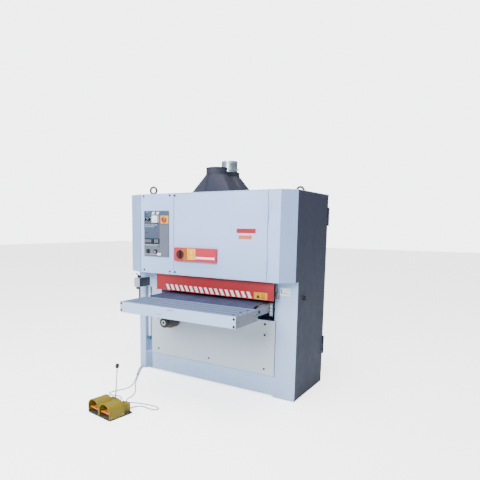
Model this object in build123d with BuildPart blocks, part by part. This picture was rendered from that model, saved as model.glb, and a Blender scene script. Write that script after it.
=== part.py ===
"""Wide-belt sander with two sanding belts, a feed conveyor and a foot-pedal switch.

Millimetres. +Z is up, +X is to the operator's right, +Y goes from the operator to the back.
The origin is on the floor, at the centre of the four anchor holes.
"""
import os
from math import cos, pi, radians, sin, tan

from build123d import *

os.makedirs("parts", exist_ok=True)

# ---------------------------------------------------------------- driving dimensions
# housing
WIDTH = 1850                # over the two sides
LEFT = -WIDTH / 2
RIGHT = WIDTH / 2
BASE_DEPTH = 720            # base, front to back
BASE_FRONT = -BASE_DEPTH / 2
BACK = BASE_DEPTH / 2
HOOD_OVERHANG = 177         # hood front ahead of the base front
HOOD_FRONT = BASE_FRONT - HOOD_OVERHANG
HOOD_BOTTOM = 1104
HOOD_TOP = 1905
SHEET = 6                   # stiffened sheet steel
SKIN = 4                    # doors and covers
SEAM = 2                    # gap round a door
LEFT_BEVEL = (177, 64)      # width across the front, depth along the side
RIGHT_BEVEL = (109, 111)
LEFT_COLUMN = 313           # width of each column
RIGHT_COLUMN = 173
COLUMN_L = LEFT + LEFT_COLUMN
COLUMN_R = RIGHT - RIGHT_COLUMN
PANEL_END_X = -318          # right edge of the control panel, left edge of the door
DOOR_END_X = 699            # right edge of the front door
SIDE_DOOR_Y = -284          # front edge of the side door
FOOT_WIDTH = 78             # part of the left column that stands on the floor
RIGHT_FOOT = 217            # the same on the right, with the strip beside the column
ARCH = 18                   # floor clearance between the feet

# anchor holes
ANCHOR_X = 1770
ANCHOR_Y = 640
ANCHOR_R = 9

# sanding heads
FEED_X = 92.5               # centre of the belts and of the table
HEAD_Y = (-260, -12)        # the two contact rollers, front and back
BELT_W = 1115               # abrasive belt
ROLLER_W = 1130
CONTACT_R = 80
UPPER_R = 60
ROLLER_WALL = 14
ROLLER_DISC = 20
CONTACT_Z = 1013
UPPER_Z = 1722
ABRASIVE = 1.5              # belt thickness
BELT_GAP = 0.3              # roller to belt
SHAFT_R = 20
FIT = 0.05                  # running fit, on the radius
PULLEY_R = 62
PULLEY_X = (-716, -648)     # pulleys inside the left column
MOTOR_Y = 0
MOTOR_Z = 360
MOTOR_R = 125
MOTOR_SHAFT_R = 19
MOTOR_PULLEY_R = 80

# feed conveyor and tables
FEED_TOP = 905              # top of the feed belt
FEED_BELT = 4
FEED_BELT_W = 1130
FEED_ROLLER_R = 45
FEED_FRONT_Y = -652         # roller centres
FEED_BACK_Y = 438
FEED_SHAFT_R = 14
SIDE_PLATE = 12
SIDE_PLATE_X = 590          # from the feed centre to the side plate's inner face
TABLE_W = 1233
TABLE_TOP = 888
TABLE_T = 8
TABLE_FRONT_Y = -1087
TABLE_GAP = 6
RAIL_H = 100
RAIL_T = 28
GROOVES = 4
LIFT_DOWN = 55
LIFT_UP = 20

# lift
SCREW_X = 617               # from the feed centre
SCREW_Y = 220
SCREW_R = 15
DECK_Z = 100
DECK_T = 8
SPROCKET_R = 34
SPROCKET_Z = 172
CHAIN = 6

# guard in front of the opening
GUARD_Y = -460
GUARD_BOTTOM = 929
GUARD_T = 5

# lower front panel
PANEL_LEFT = -748
PANEL_RIGHT = 718
PANEL_Z = (204, 728)
PANEL_T = 7

# control panel
FASCIA = (-694, -374, 1275, 1735)
FASCIA_T = 6
SWITCH = (-291, 193, 1247, 1379)
SWITCH_T = 30

# dust extraction
DUST_BASE = (450, 230)
DUST_R = 102
DUST_Z = HOOD_TOP + 188     # where the round spigot starts
DUST_TOP = (HOOD_TOP + 249, HOOD_TOP + 225)
DUST_WALL = 2.5
STUB_R = 80                 # bright duct stub on the rear hood
STUB_TOP = HOOD_TOP + 337

# foot pedal, turned a little on the floor
PEDAL_X, PEDAL_Y = -287, -1484
PEDAL_TURN = -8
PEDAL_W = 300
PEDAL_FRONT, PEDAL_REAR = -107, 133
SHROUD_H = 132
SHROUD_WALL = 4
TREADLE_ANGLE = 9

# cords
CORD_R = 4
LEAD_R = 15

nodes = []


# ---------------------------------------------------------------- shared shapes
def block(x0, x1, y0, y1, z0, z1, mode=Mode.ADD):
    """A box between two corners."""
    with BuildSketch(Plane.XY.offset(z0)) as outline:
        with Locations(((x0 + x1) / 2, (y0 + y1) / 2)):
            Rectangle(x1 - x0, y1 - y0)
    extrude(outline.sketch, amount=z1 - z0, mode=mode)


def rod_x(radius, x0, x1, y, z, mode=Mode.ADD):
    """A round bar along X."""
    with BuildSketch(Plane.YZ.offset(x0)) as outline:
        with Locations((y, z)):
            Circle(radius)
    extrude(outline.sketch, amount=x1 - x0, mode=mode)


def rod_y(radius, y0, y1, x, z, mode=Mode.ADD):
    """A round bar along Y."""
    with BuildSketch(Plane.XZ.offset(-y1)) as outline:
        with Locations((x, z)):
            Circle(radius)
    extrude(outline.sketch, amount=y1 - y0, mode=mode)


def rod_z(radius, z0, z1, x, y, mode=Mode.ADD):
    """A round bar along Z."""
    with BuildSketch(Plane.XY.offset(z0)) as outline:
        with Locations((x, y)):
            Circle(radius)
    extrude(outline.sketch, amount=z1 - z0, mode=mode)


def plan_prism(points, z0, z1, mode=Mode.ADD):
    """A vertical prism on a plan outline."""
    with BuildSketch(Plane.XY.offset(z0)) as outline:
        Polygon(*points, align=None)
    extrude(outline.sketch, amount=z1 - z0, mode=mode)


def side_prism(points, x0, x1, mode=Mode.ADD):
    """A prism along X on a side outline of (y, z) points."""
    with BuildSketch(Plane.YZ.offset(x0)) as outline:
        Polygon(*points, align=None)
    extrude(outline.sketch, amount=x1 - x0, mode=mode)


def belt_loop(grow, x0, x1, ends, mode=Mode.ADD):
    """The space inside a belt round two rollers, each (y, z, radius)."""
    with BuildSketch(Plane.YZ.offset(x0)) as outline:
        for y, z, radius in ends:
            with Locations((y, z)):
                Circle(radius + grow)
        make_hull()
    extrude(outline.sketch, amount=x1 - x0, mode=mode)


def belt(thickness, x0, x1, ends):
    """A closed belt that clears its rollers by the belt gap."""
    belt_loop(BELT_GAP + thickness, x0, x1, ends)
    belt_loop(BELT_GAP, x0, x1, ends, mode=Mode.SUBTRACT)


def hollow_roller(radius, x0, x1, y, z):
    """A tube closed by an end disc at each end, with one balancing hole through the discs."""
    rod_x(radius, x0, x1, y, z)
    rod_x(radius - ROLLER_WALL, x0 + ROLLER_DISC, x1 - ROLLER_DISC, y, z, Mode.SUBTRACT)
    rod_x(3, x0 - 1, x1 + 1, y, z + radius - ROLLER_WALL - 6, Mode.SUBTRACT)


def save(name, label):
    """Name a finished piece and write it."""
    name.part.label = label
    export_step(name.part, f"parts/{label}.step")
    nodes.append(label)


def save_group(label, *pieces):
    """Write several pieces as separate solids of one node."""
    group = Compound(label=label, children=[piece.part for piece in pieces])
    export_step(group, f"parts/{label}.step")
    nodes.append(label)


# ---------------------------------------------------------------- base
RAIL_BOTTOM = TABLE_TOP - RAIL_H
NICHE = (LEFT + 80, LEFT + 177, 200, 930)    # x, x, z, z
NICHE_DEPTH = 100
ANCHORS = [(sx * ANCHOR_X / 2, sy * ANCHOR_Y / 2) for sx in (-1, 1) for sy in (-1, 1)]
SHAFT_HOLE_R = SHAFT_R + 8
MOTOR_HOLE_R = MOTOR_SHAFT_R + 8

with BuildPart() as left_column:
    block(LEFT, COLUMN_L, BASE_FRONT, BACK, ARCH, HOOD_BOTTOM)
    block(LEFT, LEFT + FOOT_WIDTH, BASE_FRONT, BACK, 0, ARCH)
    block(LEFT + SHEET, COLUMN_L - SHEET, BASE_FRONT + SHEET, BACK - SHEET,
          ARCH + SHEET, HOOD_BOTTOM - SHEET, mode=Mode.SUBTRACT)
    block(NICHE[0] - SHEET, NICHE[1] + SHEET, BASE_FRONT + SHEET,
          BASE_FRONT + NICHE_DEPTH + SHEET, NICHE[2] - SHEET, NICHE[3] + SHEET)
    block(NICHE[0], NICHE[1], BASE_FRONT - 1, BASE_FRONT + NICHE_DEPTH,
          NICHE[2], NICHE[3], mode=Mode.SUBTRACT)
    for head_y in HEAD_Y:
        rod_x(SHAFT_HOLE_R, COLUMN_L - SHEET - 1, COLUMN_L + 1, head_y, CONTACT_Z, Mode.SUBTRACT)
    rod_x(MOTOR_HOLE_R, COLUMN_L - SHEET - 1, COLUMN_L + 1, MOTOR_Y, MOTOR_Z, Mode.SUBTRACT)
    for x, y in ANCHORS:
        if x < 0:
            rod_z(ANCHOR_R, -1, ARCH + SHEET + 1, x, y, Mode.SUBTRACT)
save(left_column, "left_column")

SIDE_OPENING = (160, 1060)
with BuildPart() as right_column:
    block(COLUMN_R, RIGHT - SKIN, BASE_FRONT, BACK, ARCH, HOOD_BOTTOM)
    block(RIGHT - SKIN, RIGHT, BASE_FRONT, SIDE_DOOR_Y - SEAM, ARCH, HOOD_BOTTOM)
    block(COLUMN_R, RIGHT - SKIN, BASE_FRONT, BACK, 0, ARCH)
    block(COLUMN_R + SHEET, RIGHT - SKIN - SHEET, BASE_FRONT + SHEET, BACK - SHEET,
          ARCH + SHEET, HOOD_BOTTOM - SHEET, mode=Mode.SUBTRACT)
    block(RIGHT - SKIN - SHEET - 1, RIGHT - SKIN + 1, SIDE_DOOR_Y + 40, BACK - 40,
          *SIDE_OPENING, mode=Mode.SUBTRACT)
    for head_y in HEAD_Y:
        rod_x(SHAFT_HOLE_R, COLUMN_R - 1, COLUMN_R + SHEET + 1, head_y, CONTACT_Z, Mode.SUBTRACT)
    for x, y in ANCHORS:
        if x > 0:
            rod_z(ANCHOR_R, -1, ARCH + SHEET + 1, x, y, Mode.SUBTRACT)
save(right_column, "right_column")

# deck between the columns, with a folded edge at the front and the back
with BuildPart() as base_deck:
    block(COLUMN_L, COLUMN_R, BASE_FRONT + SHEET, BACK - SHEET, DECK_Z - DECK_T, DECK_Z)

with BuildPart() as front_sill:
    block(COLUMN_L, COLUMN_R, BASE_FRONT, BASE_FRONT + SHEET, ARCH, PANEL_Z[0] + 26)
    block(RIGHT - RIGHT_FOOT, COLUMN_R, BASE_FRONT, BASE_FRONT + SHEET, 0, HOOD_BOTTOM)

with BuildPart() as lower_back_panel:
    block(COLUMN_L, COLUMN_R, BACK - SHEET, BACK, ARCH, PANEL_Z[1])

save_group("base_frame", base_deck, front_sill, lower_back_panel)

HANDWHEEL_X = -414
HANDWHEEL_Z = 609
HANDWHEEL_SHAFT_R = 8
with BuildPart() as lower_front_panel:
    block(PANEL_LEFT, PANEL_RIGHT, BASE_FRONT - PANEL_T, BASE_FRONT, *PANEL_Z)
    rod_y(HANDWHEEL_SHAFT_R + 4, BASE_FRONT - PANEL_T - 1, BASE_FRONT + 1,
          HANDWHEEL_X, HANDWHEEL_Z, Mode.SUBTRACT)
    vertical = lower_front_panel.edges().filter_by(Axis.Z).group_by(Axis.Y)[0]
    chamfer(vertical.group_by(Axis.X)[0] + vertical.group_by(Axis.X)[-1], 3)
save(lower_front_panel, "lower_front_panel")

# ---------------------------------------------------------------- hood
HOOD_PLAN = [
    (LEFT, BACK), (LEFT, HOOD_FRONT + LEFT_BEVEL[1]), (LEFT + LEFT_BEVEL[0], HOOD_FRONT),
    (RIGHT - RIGHT_BEVEL[0], HOOD_FRONT), (RIGHT, HOOD_FRONT + RIGHT_BEVEL[1]), (RIGHT, BACK),
]
HEAD_OPENING = (COLUMN_L + 14, COLUMN_R - 14, HEAD_Y[0] - 92, HEAD_Y[1] + 92)
FLOOR_TOP = HOOD_BOTTOM + SHEET
ROOF = HOOD_TOP - SHEET

with BuildPart() as hood_floor:
    plan_prism(HOOD_PLAN, HOOD_BOTTOM, FLOOR_TOP)
    block(*HEAD_OPENING, HOOD_BOTTOM - 1, FLOOR_TOP + 1, mode=Mode.SUBTRACT)
    block(RIGHT - SKIN, RIGHT + 1, SIDE_DOOR_Y - SEAM, BACK + 1,
          HOOD_BOTTOM - 1, FLOOR_TOP + 1, mode=Mode.SUBTRACT)

EYEBOLTS = [(LEFT + 250, HOOD_FRONT + 125), (RIGHT - 250, BACK - 125)]
with BuildPart() as hood_roof:
    plan_prism(HOOD_PLAN, ROOF, HOOD_TOP)
    for head_y in HEAD_Y:
        block(-DUST_BASE[0] / 2 + 20, DUST_BASE[0] / 2 - 20, head_y - 80, head_y + 80,
              ROOF - 1, HOOD_TOP + 1, mode=Mode.SUBTRACT)
    for x, y in EYEBOLTS:
        rod_z(8, ROOF - 1, HOOD_TOP + 1, x, y, Mode.SUBTRACT)
save(hood_roof, "hood_roof")

LB_X, LB_Y = LEFT + LEFT_BEVEL[0], HOOD_FRONT + LEFT_BEVEL[1]
with BuildPart() as hood_left_side:
    plan_prism([(LEFT, BACK), (LEFT, LB_Y), (LB_X, HOOD_FRONT), (LB_X, HOOD_FRONT + SHEET),
                (LEFT + SHEET, LB_Y + SHEET - 1), (LEFT + SHEET, BACK)], FLOOR_TOP, ROOF)

RB_X, RB_Y = RIGHT - RIGHT_BEVEL[0], HOOD_FRONT + RIGHT_BEVEL[1]
with BuildPart() as hood_right_post:
    plan_prism([(DOOR_END_X, HOOD_FRONT), (RB_X, HOOD_FRONT), (RIGHT, RB_Y),
                (RIGHT, SIDE_DOOR_Y - SEAM), (RIGHT - SHEET, SIDE_DOOR_Y - SEAM),
                (RIGHT - SHEET, RB_Y + 2), (RB_X - 2, HOOD_FRONT + SHEET),
                (DOOR_END_X, HOOD_FRONT + SHEET)], FLOOR_TOP, ROOF)

with BuildPart() as hood_back:
    block(LEFT + SHEET, RIGHT - SKIN - SEAM, BACK - SHEET, BACK, FLOOR_TOP, ROOF)

BULKHEAD_X = COLUMN_L
with BuildPart() as head_bulkhead:
    block(BULKHEAD_X, BULKHEAD_X + 12, HEAD_Y[0] - 90, BACK - SHEET, FLOOR_TOP, ROOF)

with BuildPart() as control_panel:
    block(LB_X, PANEL_END_X, HOOD_FRONT, HOOD_FRONT + SKIN, FLOOR_TOP, ROOF)

with BuildPart() as electrical_cabinet:
    block(LB_X + 10, PANEL_END_X - 10, HOOD_FRONT + SKIN, HEAD_Y[0] - 105,
          FLOOR_TOP + 60, ROOF - 60)
    block(LB_X + 16, PANEL_END_X - 16, HOOD_FRONT + SKIN - 1, HEAD_Y[0] - 111,
          FLOOR_TOP + 66, ROOF - 66, mode=Mode.SUBTRACT)
save_group("control_panel", control_panel, electrical_cabinet)

# ---------------------------------------------------------------- doors
DOOR = (PANEL_END_X + SEAM, DOOR_END_X - SEAM, FLOOR_TOP + 1, ROOF - 1)
HINGE_R = 7
FRONT_HINGE = (DOOR_END_X, HOOD_FRONT - HINGE_R - 1)
SIDE_HINGE = (RIGHT + HINGE_R + 1, BACK - HINGE_R)
KNUCKLE = 90
LOCK_R = 9
LOCK_HOLE_R = 5
CAM_HALF = 6.5              # half the square cam behind the door skin
LOCKS = [(DOOR[0] + 14, ROOF - 20), (DOOR[0] + 16, FLOOR_TOP + 22)]
FLANGE = 18


def hinge_knuckles(x, y, heights, leaf_x, leaf_y):
    """Hinge knuckles on a vertical pin, with the leaf that carries them."""
    for z in heights:
        rod_z(HINGE_R, z, z + KNUCKLE, x, y)
        block(*leaf_x, *leaf_y, z, z + KNUCKLE)
        rod_z(HINGE_R / 2 + FIT, z - 1, z + KNUCKLE + 1, x, y, Mode.SUBTRACT)


HINGE_HEIGHTS = (FLOOR_TOP + 90, ROOF - 90 - 2 * KNUCKLE - 1)
with BuildPart() as front_door:
    block(DOOR[0], DOOR[1], HOOD_FRONT, HOOD_FRONT + SKIN, *DOOR[2:])
    block(DOOR[0], DOOR[0] + SKIN, HOOD_FRONT + SKIN, HOOD_FRONT + FLANGE, *DOOR[2:])
    block(DOOR[1] - SKIN, DOOR[1], HOOD_FRONT + SKIN, HOOD_FRONT + FLANGE, *DOOR[2:])
    for x, z in LOCKS:
        rod_y(LOCK_HOLE_R, HOOD_FRONT - 1, HOOD_FRONT + SKIN + 1, x, z, Mode.SUBTRACT)
    hinge_knuckles(*FRONT_HINGE, HINGE_HEIGHTS, (DOOR[1] - 30, DOOR[1] - 4),
                   (HOOD_FRONT - 3, HOOD_FRONT))
    for z in HINGE_HEIGHTS:
        block(DOOR[1] - 6, FRONT_HINGE[0] - HINGE_R / 2 - 1, HOOD_FRONT - HINGE_R - 1,
              HOOD_FRONT, z, z + KNUCKLE)
save(front_door, "front_door")

with BuildPart() as front_door_hinges:
    for z in HINGE_HEIGHTS:
        z1 = z + KNUCKLE + 0.5
        rod_z(HINGE_R, z1, z1 + KNUCKLE, *FRONT_HINGE)
        block(FRONT_HINGE[0] + HINGE_R / 2, FRONT_HINGE[0] + 30, HOOD_FRONT - 3, HOOD_FRONT,
              z1, z1 + KNUCKLE)
        rod_z(HINGE_R / 2, z, z1, *FRONT_HINGE)

for index, (x, z) in enumerate(LOCKS, 1):
    with BuildPart() as door_lock:
        rod_y(LOCK_R, HOOD_FRONT - 7, HOOD_FRONT - 0.3, x, z)
        block(x - 1.5, x + 1.5, HOOD_FRONT - 8, HOOD_FRONT - 5, z - 7, z + 7, mode=Mode.SUBTRACT)
        rod_y(LOCK_HOLE_R - FIT, HOOD_FRONT - 0.3, HOOD_FRONT + SKIN + 0.3, x, z)
        block(x - CAM_HALF, x + CAM_HALF, HOOD_FRONT + SKIN + 0.3, HOOD_FRONT + SKIN + 3.3,
              z - CAM_HALF, z + CAM_HALF)
    save(door_lock, f"door_lock_{index}")

KNOB_Z = 949
KNOB_Y = SIDE_DOOR_Y + 56
KNOB_R = 22
SIDE_DOOR = (SIDE_DOOR_Y, SIDE_HINGE[1] - 1, ARCH + 92, HOOD_TOP - 25)
SIDE_KNUCKLES = (300, 1600)
with BuildPart() as side_door:
    block(RIGHT - SKIN, RIGHT, *SIDE_DOOR)
    rod_x(LOCK_HOLE_R, RIGHT - SKIN - 1, RIGHT + 1, KNOB_Y, KNOB_Z, Mode.SUBTRACT)
    hinge_knuckles(*SIDE_HINGE, SIDE_KNUCKLES, (RIGHT, RIGHT + 3),
                   (SIDE_HINGE[1] - 36, SIDE_HINGE[1] - 4))
save(side_door, "side_door")

with BuildPart() as side_door_hinges:
    for z in SIDE_KNUCKLES:
        z1 = z + KNUCKLE + 0.5
        rod_z(HINGE_R, z1, z1 + KNUCKLE, *SIDE_HINGE)
        block(RIGHT - 30, RIGHT + 12, BACK, BACK + 3, z1, z1 + KNUCKLE)
        block(RIGHT + 2, RIGHT + 12, BACK - 4, BACK, z1, z1 + KNUCKLE)
        rod_z(HINGE_R / 2, z, z1, *SIDE_HINGE)

with BuildPart() as hood_side_header:
    block(RIGHT - SKIN - SHEET, RIGHT, SIDE_DOOR_Y - SEAM, BACK, SIDE_DOOR[3] + SEAM, ROOF)

save_group("hood_panels", hood_floor, hood_left_side, hood_right_post, hood_back, hood_side_header)

with BuildPart() as side_door_knob:
    with Locations(Plane.YZ.offset(RIGHT + 0.3)):
        with Locations((KNOB_Y, KNOB_Z)):
            Cylinder(KNOB_R, 16, align=(Align.CENTER, Align.CENTER, Align.MIN))
    block(RIGHT + 16, RIGHT + 26, KNOB_Y - 6, KNOB_Y + 6, KNOB_Z - KNOB_R + 2, KNOB_Z + KNOB_R - 2)
    rod_x(LOCK_HOLE_R - FIT, RIGHT - SKIN - 0.3, RIGHT + 0.3, KNOB_Y, KNOB_Z)
save(side_door_knob, "side_door_knob")

# ---------------------------------------------------------------- main switch on the door
SWITCH_KNOB = (-214, 1313)
SWITCH_KNOB_R = 44
with BuildPart() as main_switch_box:
    block(SWITCH[0], SWITCH[1], HOOD_FRONT - SWITCH_T, HOOD_FRONT, *SWITCH[2:])
    fillet(main_switch_box.edges().filter_by(Axis.Y), 6)
    rod_y(LOCK_HOLE_R, HOOD_FRONT - SWITCH_T - 1, HOOD_FRONT - SWITCH_T + 20,
          *SWITCH_KNOB, Mode.SUBTRACT)
save(main_switch_box, "main_switch_box")

with BuildPart() as main_switch_knob:
    face_y = HOOD_FRONT - SWITCH_T - 0.3
    rod_y(SWITCH_KNOB_R, face_y - 9, face_y, *SWITCH_KNOB)
    block(SWITCH_KNOB[0] - 9, SWITCH_KNOB[0] + 9, face_y - 26, face_y - 9,
          SWITCH_KNOB[1] - 36, SWITCH_KNOB[1] + 36)
    rod_y(LOCK_HOLE_R - FIT, face_y, face_y + 18, *SWITCH_KNOB)
save(main_switch_knob, "main_switch_knob")

# ---------------------------------------------------------------- control fascia
FASCIA_Y = HOOD_FRONT - FASCIA_T
STEM_R = 6
START = (-659, 1708)
LAMPS = [(-567, 1710), (-510, 1710)]
SELECTORS = [(-671, 1651), (-621, 1651)]
ESTOP = (-428, 1648)
JOGS = [(-642, 1328), (-543, 1326)]
LAMP_R = 14
DISPLAY = (-568, -499, 1618, 1688)           # x, x, z, z
DISPLAY_T = 32
KEYPAD = (-686, -496, 1407, 1458)
KEYPAD_T = 8
KEYPAD_BLOCK = (-588, -564, 1409, 1456)      # the thicker part of the keypad
KEYPAD_BLOCK_T = 20

with BuildPart() as control_fascia:
    block(FASCIA[0], FASCIA[1], FASCIA_Y, HOOD_FRONT, *FASCIA[2:])
    for x, z in [START, ESTOP] + SELECTORS + JOGS:
        rod_y(STEM_R, FASCIA_Y - 1, HOOD_FRONT + 1, x, z, Mode.SUBTRACT)

with BuildPart() as signal_lamps:
    for x, z in LAMPS:
        rod_y(LAMP_R, FASCIA_Y - 12, FASCIA_Y, x, z)

with BuildPart() as thickness_display:
    block(*DISPLAY[:2], FASCIA_Y - DISPLAY_T, FASCIA_Y, *DISPLAY[2:])
    fillet(thickness_display.edges().filter_by(Axis.Y), 4)

with BuildPart() as keypad:
    block(*KEYPAD[:2], FASCIA_Y - KEYPAD_T, FASCIA_Y, *KEYPAD[2:])
    block(*KEYPAD_BLOCK[:2], FASCIA_Y - KEYPAD_BLOCK_T, FASCIA_Y - KEYPAD_T, *KEYPAD_BLOCK[2:])
save_group("control_fascia", control_fascia, signal_lamps, thickness_display, keypad)

BUTTON_GAP = 4.5


def button(label, x, z, head_r, head_t, square=False, collar_r=0):
    """A push button or a knob: a head in front of the fascia and a stem in its hole."""
    with BuildPart() as piece:
        back_y = FASCIA_Y - BUTTON_GAP
        if square:
            block(x - head_r, x + head_r, back_y - head_t, back_y, z - head_r, z + head_r)
        else:
            rod_y(head_r, back_y - head_t, back_y, x, z)
            fillet(piece.faces().sort_by(Axis.Y)[0].edges(), min(2, head_t / 4))
        rod_y(STEM_R - FIT, back_y, FASCIA_Y + 2, x, z)
    save(piece, label)


button("start_button", *START, 14, 9)
button("feed_up_button", *JOGS[0], 15, 9, square=True)
button("feed_down_button", *JOGS[1], 15, 9, square=True)
button("emergency_stop_button", *ESTOP, 27, 20)
for index, (x, z) in enumerate(SELECTORS, 1):
    with BuildPart() as selector:
        rod_y(16, FASCIA_Y - 8, FASCIA_Y - 0.3, x, z)
        block(x - 4, x + 4, FASCIA_Y - 20, FASCIA_Y - 8, z - 15, z + 15)
        rod_y(STEM_R - FIT, FASCIA_Y - 0.3, FASCIA_Y + 4, x, z)
    save(selector, f"selector_{index}")

# ---------------------------------------------------------------- guard
PIN_Z = HOOD_BOTTOM - 12
GUARD = (COLUMN_L + 14, COLUMN_R - 14)
PIN_R = 4
with BuildPart() as infeed_guard:
    block(*GUARD, GUARD_Y - GUARD_T / 2, GUARD_Y + GUARD_T / 2, GUARD_BOTTOM, PIN_Z)
    rod_x(PIN_R + 4, *GUARD, GUARD_Y, PIN_Z)
    rod_x(PIN_R + FIT, GUARD[0] - 1, GUARD[1] + 1, GUARD_Y, PIN_Z, Mode.SUBTRACT)
save(infeed_guard, "infeed_guard")

with BuildPart() as guard_pin:
    rod_x(PIN_R, COLUMN_L, COLUMN_R, GUARD_Y, PIN_Z)
    for x in (COLUMN_L, COLUMN_R - 12):
        block(x, x + 12, GUARD_Y - 10, GUARD_Y + 10, PIN_Z - 10, HOOD_BOTTOM)

save_group("hinge_pins", front_door_hinges, side_door_hinges, guard_pin)

# ---------------------------------------------------------------- feed conveyor
BED_L = FEED_X - SIDE_PLATE_X
BED_R = FEED_X + SIDE_PLATE_X
ROLLER_Z = FEED_TOP - FEED_BELT - BELT_GAP - FEED_ROLLER_R
BELT_ENDS = [(FEED_FRONT_Y, ROLLER_Z, FEED_ROLLER_R), (FEED_BACK_Y, ROLLER_Z, FEED_ROLLER_R)]
BED_TOP = FEED_TOP - FEED_BELT - 0.1
PLATE_Z = (ROLLER_Z - 34, FEED_TOP - 10)

with BuildPart() as feed_belt:
    belt(FEED_BELT, FEED_X - FEED_BELT_W / 2, FEED_X + FEED_BELT_W / 2, BELT_ENDS)
save(feed_belt, "feed_belt")

with BuildPart() as conveyor_bed:
    bed_y = (FEED_FRONT_Y + FEED_ROLLER_R + 6, FEED_BACK_Y - FEED_ROLLER_R - 6)
    block(BED_L, BED_R, *bed_y, BED_TOP - 20, BED_TOP)
    for y in (bed_y[0] + 60, 0, bed_y[1] - 120):
        block(BED_L, BED_R, y, y + 60, BED_TOP - 60, BED_TOP - 20)

with BuildPart() as conveyor_side_plates:
    for x0, x1 in ((BED_L - SIDE_PLATE, BED_L), (BED_R, BED_R + SIDE_PLATE)):
        block(x0, x1, FEED_FRONT_Y - 26, FEED_BACK_Y + 26, *PLATE_Z)
        for y in (FEED_FRONT_Y, FEED_BACK_Y):
            rod_x(FEED_SHAFT_R + FIT, x0 - 1, x1 + 1, y, ROLLER_Z, Mode.SUBTRACT)

for label, (y, z, radius) in zip(("feed_roller_front", "feed_roller_back"), BELT_ENDS):
    with BuildPart() as feed_roller:
        hollow_roller(radius, FEED_X - FEED_BELT_W / 2, FEED_X + FEED_BELT_W / 2, y, z)
        rod_x(FEED_SHAFT_R, BED_L - SIDE_PLATE - 5, BED_R + SIDE_PLATE + 5, y, z)
    save(feed_roller, label)

ADJUSTER_X = BED_R + SIDE_PLATE
ADJUSTER_Y = (GUARD_Y + 18, GUARD_Y + 30)
with BuildPart() as conveyor_adjuster:
    block(ADJUSTER_X, ADJUSTER_X + 26, *ADJUSTER_Y, RAIL_BOTTOM, FEED_TOP - 2)
    for z in (RAIL_BOTTOM + 28, RAIL_BOTTOM + 58, RAIL_BOTTOM + 88):
        rod_y(6, ADJUSTER_Y[0] - 1, ADJUSTER_Y[1] + 1, ADJUSTER_X + 14, z, Mode.SUBTRACT)
save_group("conveyor_frame", conveyor_bed, conveyor_side_plates, conveyor_adjuster)

TABLE_L, TABLE_R = FEED_X - TABLE_W / 2, FEED_X + TABLE_W / 2
TABLE_BACK_Y = FEED_FRONT_Y - FEED_ROLLER_R - BELT_GAP - FEED_BELT - TABLE_GAP


def extension_table(front_y, back_y, rail_y):
    """A table plate with a deep front rail, end skirts and lengthwise grooves."""
    skirt = 6
    block(TABLE_L, TABLE_R, front_y, back_y, TABLE_TOP - TABLE_T, TABLE_TOP)
    block(TABLE_L, TABLE_R, *rail_y, RAIL_BOTTOM, TABLE_TOP - TABLE_T)
    for x0 in (TABLE_L, TABLE_R - skirt):
        block(x0, x0 + skirt, front_y, back_y, RAIL_BOTTOM, TABLE_TOP - TABLE_T)
    pitch = (back_y - front_y) / (GROOVES + 1)
    for k in range(GROOVES):
        y = front_y + pitch * (k + 1)
        block(TABLE_L - 1, TABLE_R + 1, y - 4, y + 4, TABLE_TOP - 3, TABLE_TOP + 1, Mode.SUBTRACT)


def table_arms(y0, y1):
    """The brackets that join a table's skirts to the conveyor's side plates."""
    for x0, x1 in ((BED_L - SIDE_PLATE, BED_L), (BED_R, BED_R + SIDE_PLATE)):
        block(x0, x1, y0, y1, PLATE_Z[0], TABLE_TOP - TABLE_T)


with BuildPart() as infeed_table:
    extension_table(TABLE_FRONT_Y, TABLE_BACK_Y, (TABLE_FRONT_Y, TABLE_FRONT_Y + RAIL_T))
    table_arms(TABLE_BACK_Y - 160, FEED_FRONT_Y - 26)

OUT_FRONT_Y = FEED_BACK_Y + (FEED_FRONT_Y - TABLE_BACK_Y)
with BuildPart() as outfeed_table:
    extension_table(OUT_FRONT_Y, OUT_FRONT_Y + 260, (OUT_FRONT_Y + 260 - RAIL_T, OUT_FRONT_Y + 260))
    table_arms(FEED_BACK_Y + 26, OUT_FRONT_Y + 120)
save_group("extension_tables", infeed_table, outfeed_table)

FEED_MOTOR_X = BED_L - SIDE_PLATE - 6
with BuildPart() as feed_motor:
    block(FEED_MOTOR_X - 44, FEED_MOTOR_X, FEED_BACK_Y - 40, FEED_BACK_Y + 40, ROLLER_Z - 45, ROLLER_Z + 45)
    block(FEED_MOTOR_X, FEED_MOTOR_X + 6, FEED_BACK_Y - 40, FEED_BACK_Y - 20, ROLLER_Z - 30, ROLLER_Z + 30)
    rod_y(34, FEED_BACK_Y + 40, FEED_BACK_Y + 190, FEED_MOTOR_X - 46, ROLLER_Z)
save(feed_motor, "feed_motor")

# ---------------------------------------------------------------- table lift
SCREWS = [(FEED_X + sx * SCREW_X, sy * SCREW_Y) for sx in (-1, 1) for sy in (-1, 1)]
SCREW_FOOT = DECK_Z + 72
JACK_W = 68
JACK_TOP = SPROCKET_Z + 78
PAD_W = 46

with BuildPart() as lift_screws:
    for x, y in SCREWS:
        rod_z(SCREW_R, SCREW_FOOT, PLATE_Z[0] - 10, x, y)
        inner = BED_L - SIDE_PLATE if x < FEED_X else BED_R
        block(min(x - PAD_W / 2, inner), max(x + PAD_W / 2, inner + SIDE_PLATE), y - PAD_W / 2,
              y + PAD_W / 2, PLATE_Z[0] - 10, PLATE_Z[0])
save(lift_screws, "lift_screws")

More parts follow.
